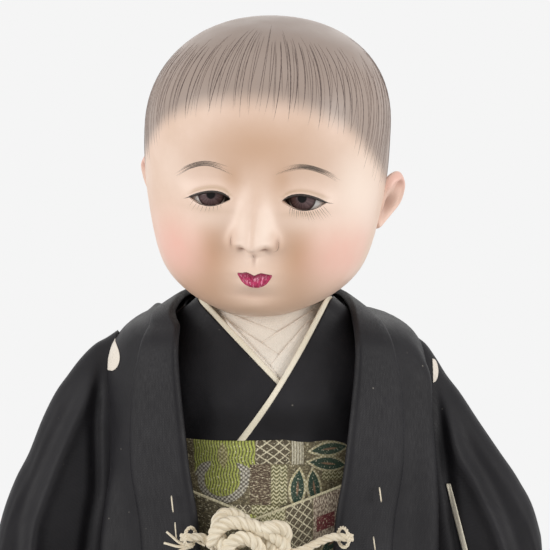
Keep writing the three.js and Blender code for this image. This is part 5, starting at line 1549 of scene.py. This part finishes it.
HAKAMA_FOOT, HAKAMA_WAIST = 22, 240
HAKAMA_HEIGHT = HAKAMA_WAIST - HAKAMA_FOOT
HEM_HALF_WIDTH, HEM_HALF_DEPTH, HEM_CURVE = 53, 43, 2.3
WAIST_EASE = 7.4
PLEATS, PLEAT_DEPTH = 12, 3.2
BACK_FOLDS, BACK_FOLD_DEPTH = 9, 2.2


def make_hakama_skirt():
    """Sharp pleats in front and soft ones behind, growing from the waist to the hem."""
    shape = bmesh.new()

    def surface(u, v):
        z = HAKAMA_FOOT + HAKAMA_HEIGHT * v
        angle = around(u)
        flare = ((HAKAMA_WAIST - z) / HAKAMA_HEIGHT) ** 0.9
        top_x, top_y, _ = torso_point(angle, np.full_like(z, HAKAMA_WAIST), WAIST_EASE)
        crease = np.abs((PLEATS * angle / np.pi % 1) - 0.5) * 2
        pleat = PLEAT_DEPTH * flare * (crease**0.5 - 0.6) * smooth(np.cos(angle), -0.1, 0.3)
        back = BACK_FOLD_DEPTH * flare * np.sin(BACK_FOLDS * angle) * smooth(-np.cos(angle), -0.1, 0.4)
        low_x = (HEM_HALF_WIDTH + pleat + back) * power(np.sin(angle), 2 / HEM_CURVE)
        low_y = 2 - (HEM_HALF_DEPTH + pleat + back) * power(np.cos(angle), 2 / HEM_CURVE)
        return top_x + (low_x - top_x) * flare, top_y + (low_y - top_y) * flare, z
    lay_grid(shape, surface, 360, 90, (0.31, 0.218), joined=True)
    skirt = make_piece("hakama_cloth", shape, "brocade", "torso", ["hakama"], thickness=1.0)


def make_back_board():
    shape = bmesh.new()
    low, high = node_box("hakama_back_board")

    def surface(u, v):
        x = (high.x - low.x) / 2 * (1 - 0.22 * v) * (2 * u - 1)
        y = high.y - 0.6 - (high.y - low.y) * 0.55 * (x / high.x) ** 2
        return x, y, low.z + (high.z - low.z) * v
    lay_grid(shape, surface, 40, 20, (0.04, 0.024))
    flip(shape)
    make_piece("back_board_cloth", shape, "brocade", "torso", ["hakama_back_board"], thickness=1.6,
               rounding=1)


def make_hakama():
    make_hakama_skirt()
    make_back_board()


# How far the coat's front stands out beside its lapel, by height
COAT_LIP = {LEFT: table([(126, 3), (200, 6), (222, 6.8), (242, 6.6), (255, 5.8), (268, 4.6), (280, 3.4),
                         (290, 1.0), (296, 0), (306, 0)]),
            RIGHT: table([(126, 3), (200, 5), (222, 5.2), (242, 2.8), (252, 1.0), (262, 0.2), (272, 0.2),
                          (296, 0), (306, 0)])}
FRONT_EDGE_DROPS, FRONT_EDGE_X = [0, 2, 5, 8, 40, 180], [28, 31, 36, 37, 36, 30]
SHOULDER_LUMP = (-38.0, 4.4, 2.2, 1.4)
# The coat collar's inner and outer edge: x and height up the front, then points round to the nape
COLLAR_EDGES = (
    (((22, 128), (21.5, 180), (21.5, 228), (25.0, 253), (27.6, 276), (28.6, 288), (28.6, 295)),
     ((28.5, -23, 299.4), (27.8, -13, 303.4), (26.6, -3, 305.6), (24.4, 8, 307), (18, 21, 308),
      (0, 28, 308.2))),
    (((40, 128), (40, 180), (41.5, 228), (45, 253), (44.5, 276), (42.5, 288), (41, 294)),
     ((39.2, -15, 297.6), (37, -6, 299), (34, 2, 300.4), (30, 11, 301.8), (24, 30, 300.5), (0, 38.5, 300))))
COLLAR_ROWS, COLLAR_COLUMNS = 220, 24


def make_coat_body():
    shape = bmesh.new()

    def surface(u, v):
        drop = COAT_LENGTH * (1 - v) ** 1.4
        edge = coat_angle(np.interp(drop, FRONT_EDGE_DROPS, FRONT_EDGE_X), drop)
        angle = edge + (2 * np.pi - 2 * edge) * u
        x, y, z = coat_point(angle, drop)
        near = np.minimum(angle, 2 * np.pi - angle)
        lip = np.where(angle < np.pi, COAT_LIP[LEFT](z)[0], -COAT_LIP[RIGHT](z)[0]) * hump(near, 1.18, 0.13)
        slope = 3.0 * hump(drop, 3.5, 4.5) * smooth(x, 15, 30)
        under_collar = (2.6 + 3.6 * smooth(-np.cos(angle), 0.45, 0.95)) * smooth(8 - drop, 0, 6)
        lump = 2.4 * mound(x, drop, *SHOULDER_LUMP)
        return x + lip - slope, y - 0.25 * np.abs(lip), z - under_collar + lump
    lay_grid(shape, surface, 260, 100, (0.3, 0.19))
    coat = make_piece("coat_cloth", shape, "black_silk", "torso", ["haori_body"], thickness=1.0)


def collar_edge(front, nape):
    """One edge of the coat's collar, from the left hem round the neck to the right hem."""
    half = [[float(part) for part in on_coat(x, z, 0.7)] for x, z in front] + [list(point) for point in nape]
    whole = half + [[-x, y, z] for x, y, z in half[-2::-1]]
    read = table([(step, *point) for step, point in enumerate(whole)])
    return np.stack(read(np.linspace(0, len(whole) - 1, COLLAR_ROWS + 1)), -1)


def make_coat_collar():
    """The rolled collar that runs down both fronts as the lapels."""
    shape = bmesh.new()
    inner, outer = [collar_edge(*edge)[:, None] for edge in COLLAR_EDGES]
    across = np.linspace(0, 1, COLLAR_COLUMNS + 1)
    cloth = inner * (1 - across[None, :, None]) + outer * across[None, :, None]
    out = unit(np.cross(np.gradient(cloth, axis=1), np.gradient(cloth, axis=0)))
    roll = np.interp(across, [0, 0.04, 0.09, 0.3, 0.7, 0.9, 0.97, 1],
                     [-1.0, 0.9, 1.5, 1.7, 1.8, 1.4, 0.7, -0.4])
    cloth = cloth + out * roll[None, :, None]
    cloth[..., 0] *= np.where(cloth[..., 0] < 0, 1 + 0.1 * smooth(cloth[..., 2], 298, 303), 1)

    def surface(u, v):
        return cloth[np.rint(v * COLLAR_ROWS).astype(int), np.rint(u * COLLAR_COLUMNS).astype(int)].T
    lay_grid(shape, surface, COLLAR_COLUMNS, COLLAR_ROWS, (0.018, 0.46))
    band = make_piece("coat_collar", shape, "black_silk", "torso",
                      ["haori_lapel_left", "haori_lapel_right", "haori_neckband"], thickness=1.4, rounding=1)


def make_coat():
    make_coat_body()
    make_coat_collar()


SLEEVE_ROOT, SLEEVE_REACH = 50.6, 41.6
SLEEVE_CURVE = 0.85
SLEEVE_HALF_DEPTH, SLEEVE_MIDDLE = 17, 4
HAND_ROOM, HAND_LEVEL = 5.4, 194  # how far the cuff swells in front of the hand, and at what height
# Heights of the sleeve's upper edge by the distance from the doll's middle
SLEEVE_TOP = {
    RIGHT: table([(50.4, 294.6), (54, 292.2), (58.3, 289.8), (63.7, 284.4), (67.4, 279.5), (71.1, 274.4),
                  (76.2, 264.2), (80.2, 254.0), (85.3, 243.9), (89, 233.8), (92, 222)]),
    LEFT: table([(50.4, 292.4), (54, 289.6), (57, 285.4), (60.7, 279.5), (64.7, 274.4), (71.5, 264.2),
                 (78.5, 254.0), (85.3, 243.9), (90.3, 233.8), (93.4, 222)]),
}
# Distances of the main fold's ridge and valley from the doll's middle, by height
SLEEVE_FOLDS = {
    RIGHT: table([(160, 82, 62), (224, 78.1, 60.5), (231, 77.3, 59.5), (241, 73.9, 57.6), (252, 69.7, 57.4),
                  (264, 64.7, 57.6), (274, 60.4, 57.0), (290, 57.5, 55.6)]),
    LEFT: table([(160, 84, 66), (224, 78.4, 64), (231, 75.9, 62.6), (240, 71.7, 61.5), (247, 68.3, 60.5),
                 (253, 64.6, 59.8), (271, 60.2, 58.2), (290, 57.5, 56.5)]),
}


def sleeve_low(v):
    """The height of the sleeve's lower edge."""
    return 165.1 - 8.1 * v - 3 * np.sin(np.pi * v)


def sleeve_point(side, u, v, lift=0.0):
    """A sleeve's cloth: round it by u from its lower edge, out to the cuff by v."""
    reach = SLEEVE_ROOT + SLEEVE_REACH * v
    top, low = SLEEVE_TOP[side](reach)[0] + lift, sleeve_low(v) - lift
    turn = 2 * np.pi * u
    level = (1 - power(np.cos(turn), SLEEVE_CURVE)) / 2
    z = low + (top - low) * level
    front = power(np.sin(turn), 0.9)
    half = (SLEEVE_HALF_DEPTH - 3 * v) * (0.7 + 0.3 * smooth(level, 0.2, 0.9)) + lift
    half = half + np.where(front > 0, HAND_ROOM * smooth(v, 0.4, 0.85) * hump(z, HAND_LEVEL, 24), 0)
    ridge, valley = SLEEVE_FOLDS[side](z)
    past = reach - ridge
    fold = (3.0 * hump(past, 0, 2.8) - 2.2 * hump(past, 6.5, 4) - 2.4 * hump(reach, valley, 1.9)
            + 1.2 * hump(past, 15, 4))
    fade = smooth(level, 0.02, 0.25) * smooth(level, 0.98, 0.85) * smooth(v, 0.03, 0.14)
    y = SLEEVE_MIDDLE - 10 * v - (half + np.where(front > 0, fold, 0) * fade) * front
    return side * reach, y, z


def make_sleeves():
    for side, name in SIDES:
        shape = bmesh.new()
        lay_grid(shape, lambda u, v: sleeve_point(side, u, v), 128, 56, (0.26, 0.045), joined=True)
        face_out(shape)
        sleeve = make_piece(f"sleeve_cloth_{name}", shape, "black_silk", f"{name}_arm",
                            [f"haori_sleeve_{name}"], thickness=1.2)


def on_left_sleeve(x, z, lift):
    """A spot on the front of the left sleeve."""
    share = (x - SLEEVE_ROOT) / SLEEVE_REACH
    top, low = SLEEVE_TOP[LEFT](x)[0], sleeve_low(share)
    level = np.clip((z - low) / (top - low), 0, 1)
    turn = np.arccos(np.clip(power(1 - 2 * level, 1 / SLEEVE_CURVE), -1, 1)) / (2 * np.pi)
    return sleeve_point(LEFT, turn, share, lift)


# Trims

STITCHES = ((-29.3, 244.2, 239.0), (-28.2, 235.6, 229.6), (34.7, 246.6, 242.0), (32.8, 230.6, 226.4))
STITCH_POINTS = 7
STITCH_RADIUS, STITCH_LIFT, STITCH_SINK = 0.22, 3.5, 1.2
CREST_RADIUS, CREST_LIFT = 5.2, 0.25
RIGHT_CREST_X, RIGHT_CREST_Z, RIGHT_CREST_WIDTH, SHOULDER_EDGE = 53.2, 287.5, 4.4, 53.4
BACK_CREST_DROP = 24
LEFT_CREST_X, LEFT_CREST_Z, LEFT_CREST_WIDTH, LEFT_CREST_HALF = 55.8, 281.4, 1.9, 3.8
LINING_FOOT, LINING_HEIGHT, LINING_WIDTH = 180, 64, 1.6
LINING_TOP_X, LINING_TOP_Z, LINING_SLANT = 60.2, 243.3, 0.263


def half_round(v):
    """How far a half disc reaches out at a share of its height."""
    return np.sqrt(np.clip(1 - (2 * v - 1) ** 2, 0, 1))


def make_stitches():
    """Basting stitches on the coat's fronts, with their ends pushed into the cloth."""
    shape = bmesh.new()
    for at_x, high, low in STITCHES:
        z = np.linspace(high, low, STITCH_POINTS)
        x, y, _ = on_coat(np.full(STITCH_POINTS, at_x), z, STITCH_LIFT)
        points = np.stack([x + np.linspace(0, 0.6, STITCH_POINTS), y, z], -1)
        points[[0, -1], 1] += STITCH_SINK
        lay_bar(shape, points, STITCH_RADIUS, 6, (0.002, 0.006))
    make_piece("basting_stitches", shape, "white_cord", "torso")


def make_crest_spots():
    """White crest discs: a half one on the right shoulder, a whole one on the back, a sliver on the left."""
    def right(u, v):
        z = RIGHT_CREST_Z + CREST_RADIUS * (2 * v - 1)
        x = RIGHT_CREST_X - RIGHT_CREST_WIDTH * half_round(v) * (1 - u)
        x, y, z = on_coat(np.clip(x, 0, SHOULDER_EDGE), z, CREST_LIFT)
        return -x, y, z

    def back(u, v):
        drop = BACK_CREST_DROP + CREST_RADIUS * v * np.cos(2 * np.pi * u)
        angle = np.pi - coat_angle(CREST_RADIUS * v * np.sin(2 * np.pi * u), drop)
        return coat_point(angle, drop, CREST_LIFT)

    def left(u, v):
        z = LEFT_CREST_Z + LEFT_CREST_HALF * (2 * v - 1)
        return on_left_sleeve(LEFT_CREST_X + LEFT_CREST_WIDTH * half_round(v) * u, z, 0.3)
    for name, body, surface, across, along, flat, set_out in (
            ("right", "torso", right, 14, 24, (0.005, 0.011), flip),
            ("back", "torso", back, 32, 8, (0.033, 0.0052), face_out),
            ("left", "left_arm", left, 8, 20, (0.002, 0.0076), face_out)):
        shape = bmesh.new()
        lay_grid(shape, surface, across, along, flat, joined=True)
        set_out(shape)
        make_piece(f"crest_spot_{name}", shape, "white_silk", body, thickness=0.15)


def make_lining_edge():
    """The cream edge of the left sleeve's lining."""
    shape = bmesh.new()

    def surface(u, v):
        z = LINING_FOOT + LINING_HEIGHT * v
        x = LINING_TOP_X + (LINING_TOP_Z - z) * LINING_SLANT + LINING_WIDTH * u
        return on_left_sleeve(x, z, 0.5)
    lay_grid(shape, surface, 4, 40, (0.0016, 0.064))
    flip(shape)
    make_piece("sleeve_lining_edge", shape, "cream_silk", "left_arm", thickness=0.3)


def make_trims():
    make_stitches()
    make_crest_spots()
    make_lining_edge()


# Solids of the frame that stay as they are, by finish
KEPT_SOLIDS = {
    "bare_composition": ["torso_front_shell", "torso_back_shell"],
    "paulownia": ["hip_block", "neck_socket", "voice_press_board", "voice_back_block"],
    "gofun_skin": ["left_leg", "right_leg"], "putty": ["left_eye_putty", "right_eye_putty"],
    "bellows_paper": ["voice_bellows"], "spring_steel": ["voice_spring"], "reed_brass": ["voice_reed"],
}


def finish_inner_works():
    for name, nodes in KEPT_SOLIDS.items():
        for node in nodes:
            for slot in bpy.data.objects[node].material_slots:
                slot.material = finish(name)


# The stage

WARM_WHITE, LAMP_WHITE = (1, 0.985, 0.965), (1, 0.985, 0.96)
FLOOR_RADIUS, FLOOR_LEVEL = 0.7, -0.0002
LAMP_AIM = Vector((0, 0, 0.26))
CAMERA_AIM = Vector((0.0027, 0.0, 0.3135))


def add_to_scene(name, data):
    made = bpy.data.objects.new(name, data)
    bpy.context.scene.collection.objects.link(made)
    return made


def make_room(stage):
    """An even light from all round, behind which the camera sees a plain backdrop."""
    scene = bpy.context.scene
    scene.view_settings.view_transform = "Standard"
    scene.world = scene.world or bpy.data.worlds.new("studio")
    scene.world.use_nodes = True
    scene.world.node_tree.nodes.clear()
    nodes = Nodes(scene.world.node_tree)
    path = nodes.add("ShaderNodeLightPath").outputs
    seen = nodes.most(path["Is Camera Ray"], nodes.most(path["Is Glossy Ray"], path["Is Transmission Ray"]))
    backdrop = nodes.add("ShaderNodeBackground", {"Color": stage.backdrop, "Strength": 1.0}).outputs[0]
    room = nodes.add("ShaderNodeBackground", {"Color": WARM_WHITE, "Strength": stage.room_light}).outputs[0]
    mixed = nodes.add("ShaderNodeMixShader", {0: seen, 1: room, 2: backdrop}).outputs[0]
    nodes.add("ShaderNodeOutputWorld", {0: mixed})


def make_floor():
    shape = bmesh.new()
    bmesh.ops.create_circle(shape, cap_ends=True, segments=96, radius=FLOOR_RADIUS)
    move(shape, Matrix.Translation((0, 0, FLOOR_LEVEL)))
    mesh = bpy.data.meshes.new("floor")
    shape.to_mesh(mesh)
    shape.free()
    mesh.materials.append(new_finish("pale_floor", pale_floor))
    floor = add_to_scene("floor", mesh)


def make_lamps(stage):
    for name, place, size, watts in (("left softbox", (-1.05, -0.6, 0.5), 0.7, stage.side_light),
                                     ("right softbox", (1.05, -0.6, 0.5), 0.7, stage.side_light),
                                     ("top softbox", (0.0, -0.35, 1.25), 0.8, stage.top_light),
                                     ("back softbox", (0.0, 1.1, 0.7), 0.8, stage.back_light)):
        lamp = bpy.data.lights.new(name, "AREA")
        lamp.shape, lamp.size, lamp.energy = "SQUARE", size, watts
        lamp.color = LAMP_WHITE
        holder = add_to_scene(name, lamp)
        holder.location = place
        holder.rotation_euler = (LAMP_AIM - Vector(place)).to_track_quat("-Z", "Y").to_euler()


def make_camera(stage):
    camera = bpy.data.cameras.new("photo camera")
    camera.sensor_width = 36.0
    camera.lens = stage.camera_lens
    holder = add_to_scene("photo camera", camera)
    tilt = stage.camera_tilt
    holder.location = CAMERA_AIM + stage.camera_distance * Vector((0, -math.cos(tilt), math.sin(tilt)))
    holder.rotation_euler = (math.pi / 2 - tilt, 0, 0)
    bpy.context.scene.camera = holder


def make_stage(stage):
    make_room(stage)
    make_floor()
    make_lamps(stage)
    make_camera(stage)


# The add-on

def swatch_colour(label, text, *swatch):
    return bpy.props.FloatVectorProperty(name=label, description=text, subtype="COLOR", size=3, min=0, max=1,
                                         default=srgb(*swatch))


def amount(label, text, default, low, high, unit="NONE"):
    return bpy.props.FloatProperty(name=label, description=text, default=default, min=low, max=high,
                                   unit=unit)


class DollSizes(bpy.types.PropertyGroup):
    """Sizes of the doll's finer forms."""
    cord_diameter: amount("Cord", "Thickness of the coat cord", 0.0045, 0.002, 0.006, "LENGTH")
    cord_twist: amount("Cord twist", "Length of one turn of its strands", 0.0072, 0.004, 0.02, "LENGTH")
    iris_diameter: amount("Iris", "Width of the painted iris", 0.0090, 0.005, 0.011, "LENGTH")
    hair_strokes: bpy.props.IntProperty(name="Hair strokes", default=40, min=8, max=120,
                                        description="Strong brush strokes across the brow")
    brow_strokes: bpy.props.IntProperty(name="Brow strokes", default=30, min=4, max=90,
                                        description="Brush strokes in each brow")


class DollColours(bpy.types.PropertyGroup):
    """Colours of the doll's finishes."""
    skin: swatch_colour("Skin", "Polished shell white", 234, 208, 192)
    blush: swatch_colour("Blush", "Rouge on the cheeks", 236, 184, 170)
    lips: swatch_colour("Lips", "Lip colour", 182, 40, 92)
    hair_mist: swatch_colour("Hair mist", "Sprayed ground under the hair strokes", 142, 127, 119)
    hair_ink: swatch_colour("Hair ink", "Brushed hair strokes", 84, 70, 66)
    iris: swatch_colour("Iris", "Painted iris", 82, 66, 68)
    silk: swatch_colour("Black silk", "Crested coat and kimono", 22, 21, 24)
    silk_sheen: swatch_colour("Black silk, worn", "Where the black silk has faded", 34, 33, 36)
    white_silk: swatch_colour("White silk", "Under-collars", 242, 235, 225)
    cream_silk: swatch_colour("Cream silk", "Collar edges and sleeve lining", 238, 231, 214)
    brocade_ground: swatch_colour("Brocade ground", "Mottled gold ground of the sash and hakama", 98, 88, 66)
    brocade_lime: swatch_colour("Brocade lime", "Light green woven patches", 178, 186, 92)
    brocade_leaf: swatch_colour("Brocade leaf", "Dark green woven leaves", 42, 70, 56)
    brocade_maroon: swatch_colour("Brocade maroon", "Maroon woven blocks", 116, 52, 56)
    cord: swatch_colour("Cord", "White coat cord", 236, 227, 208)


class DollStage(bpy.types.PropertyGroup):
    """Light and camera."""
    backdrop: swatch_colour("Backdrop", "Colour behind the doll", 245, 245, 245)
    room_light: amount("Room light", "Even light from all round", 0.46, 0, 2)
    side_light: amount("Side light", "Power of each side softbox", 8.5, 0, 200, "POWER")
    top_light: amount("Top light", "Power of the softbox overhead", 1.0, 0, 200, "POWER")
    back_light: amount("Back light", "Power of the softbox behind", 1.5, 0, 200, "POWER")
    camera_distance: amount("Camera distance", "From the doll's neck", 1.12, 0.3, 5, "LENGTH")
    camera_tilt: bpy.props.FloatProperty(name="Camera tilt", description="How far the camera looks down",
                                         default=math.radians(5), subtype="ANGLE")
    camera_lens: amount("Lens", "Focal length in millimetres", 217.5, 20, 400)


class PieceMaker:
    """What the operators share."""
    bl_options = {"REGISTER", "UNDO"}


class DOLL_OT_stage(PieceMaker, bpy.types.Operator):
    """Set the floor, the light and the camera"""
    bl_idname = "doll.stage"
    bl_label = "Stage"

    def execute(self, context):
        make_stage(context.scene.doll_stage)
        return {"FINISHED"}


class DOLL_OT_cord(PieceMaker, bpy.types.Operator):
    """Knot the white coat cord with its loops and tassels"""
    bl_idname = "doll.cord"
    bl_label = "Coat cord"

    def execute(self, context):
        make_cord(context.scene.doll_sizes)
        return {"FINISHED"}


class DOLL_OT_head(PieceMaker, bpy.types.Operator):
    """Form the head, the ears and the neck"""
    bl_idname = "doll.head"
    bl_label = "Head"

    def execute(self, context):
        make_head()
        return {"FINISHED"}


class DOLL_OT_eyes(PieceMaker, bpy.types.Operator):
    """Set the glass eyes"""
    bl_idname = "doll.eyes"
    bl_label = "Eyes"

    def execute(self, context):
        make_eyes(context.scene.doll_sizes)
        return {"FINISHED"}


class DOLL_OT_strokes(PieceMaker, bpy.types.Operator):
    """Paint hair, brows, lashes and lid lines"""
    bl_idname = "doll.strokes"
    bl_label = "Brush strokes"

    def execute(self, context):
        make_strokes(context.scene.doll_sizes)
        return {"FINISHED"}


class DOLL_OT_lips(PieceMaker, bpy.types.Operator):
    """Paint the lips"""
    bl_idname = "doll.lips"
    bl_label = "Lips"

    def execute(self, context):
        make_lips()
        return {"FINISHED"}


class DOLL_OT_hands(PieceMaker, bpy.types.Operator):
    """Stuff the upper arms and form the hands"""
    bl_idname = "doll.hands"
    bl_label = "Arms and hands"

    def execute(self, context):
        make_hands()
        return {"FINISHED"}


class DOLL_OT_tabi(PieceMaker, bpy.types.Operator):
    """Form the split-toed socks"""
    bl_idname = "doll.tabi"
    bl_label = "Tabi"

    def execute(self, context):
        make_tabi()
        return {"FINISHED"}


class DOLL_OT_kimono(PieceMaker, bpy.types.Operator):
    """Wrap the kimono"""
    bl_idname = "doll.kimono"
    bl_label = "Kimono"

    def execute(self, context):
        make_kimono()
        return {"FINISHED"}


class DOLL_OT_collars(PieceMaker, bpy.types.Operator):
    """Fold the white, cream and black collars"""
    bl_idname = "doll.collars"
    bl_label = "Collars"

    def execute(self, context):
        make_collars()
        return {"FINISHED"}


class DOLL_OT_sash(PieceMaker, bpy.types.Operator):
    """Wind the sash and its crossing ties"""
    bl_idname = "doll.sash"
    bl_label = "Sash"

    def execute(self, context):
        make_sash()
        return {"FINISHED"}


class DOLL_OT_hakama(PieceMaker, bpy.types.Operator):
    """Pleat the hakama and set its back board"""
    bl_idname = "doll.hakama"
    bl_label = "Hakama"

    def execute(self, context):
        make_hakama()
        return {"FINISHED"}


class DOLL_OT_coat(PieceMaker, bpy.types.Operator):
    """Hang the crested coat with its lapels"""
    bl_idname = "doll.coat"
    bl_label = "Coat"

    def execute(self, context):
        make_coat()
        return {"FINISHED"}


class DOLL_OT_sleeves(PieceMaker, bpy.types.Operator):
    """Hang the coat's sleeves"""
    bl_idname = "doll.sleeves"
    bl_label = "Sleeves"

    def execute(self, context):
        make_sleeves()
        return {"FINISHED"}


class DOLL_OT_trims(PieceMaker, bpy.types.Operator):
    """Add stitches, crest spots and lining"""
    bl_idname = "doll.trims"
    bl_label = "Trims"

    def execute(self, context):
        make_trims()
        return {"FINISHED"}


class DOLL_OT_inner_works(PieceMaker, bpy.types.Operator):
    """Finish the solids inside"""
    bl_idname = "doll.inner_works"
    bl_label = "Inner works"

    def execute(self, context):
        finish_inner_works()
        return {"FINISHED"}


OPERATORS = (DOLL_OT_stage, DOLL_OT_cord, DOLL_OT_head, DOLL_OT_eyes, DOLL_OT_strokes, DOLL_OT_lips,
             DOLL_OT_hands, DOLL_OT_tabi, DOLL_OT_kimono, DOLL_OT_collars, DOLL_OT_sash, DOLL_OT_hakama,
             DOLL_OT_coat, DOLL_OT_sleeves, DOLL_OT_trims, DOLL_OT_inner_works)
SETTINGS = {"doll_sizes": DollSizes, "doll_colours": DollColours, "doll_stage": DollStage}


class DOLL_PT_pieces(bpy.types.Panel):
    """Lists the doll's pieces."""
    bl_label = "Doll"
    bl_idname = "DOLL_PT_pieces"
    bl_space_type = "VIEW_3D"
    bl_region_type = "UI"
    bl_category = "Doll"

    def draw(self, context):
        for group in SETTINGS:
            settings = getattr(context.scene, group)
            column = self.layout.column(align=True)
            for name in settings.__annotations__:
                column.prop(settings, name)
        for operator in OPERATORS:
            self.layout.operator(operator.bl_idname)


def register():
    for name, group in SETTINGS.items():
        bpy.utils.register_class(group)
        setattr(bpy.types.Scene, name, bpy.props.PointerProperty(type=group))
    for item in (*OPERATORS, DOLL_PT_pieces):
        bpy.utils.register_class(item)


def unregister():
    for item in (DOLL_PT_pieces, *reversed(OPERATORS)):
        bpy.utils.unregister_class(item)
    for name, group in reversed(SETTINGS.items()):
        delattr(bpy.types.Scene, name)
        bpy.utils.unregister_class(group)


def main():
    register()
    for operator in OPERATORS:
        getattr(bpy.ops.doll, operator.bl_idname.split(".")[1])()


if __name__ == "__main__":
    main()
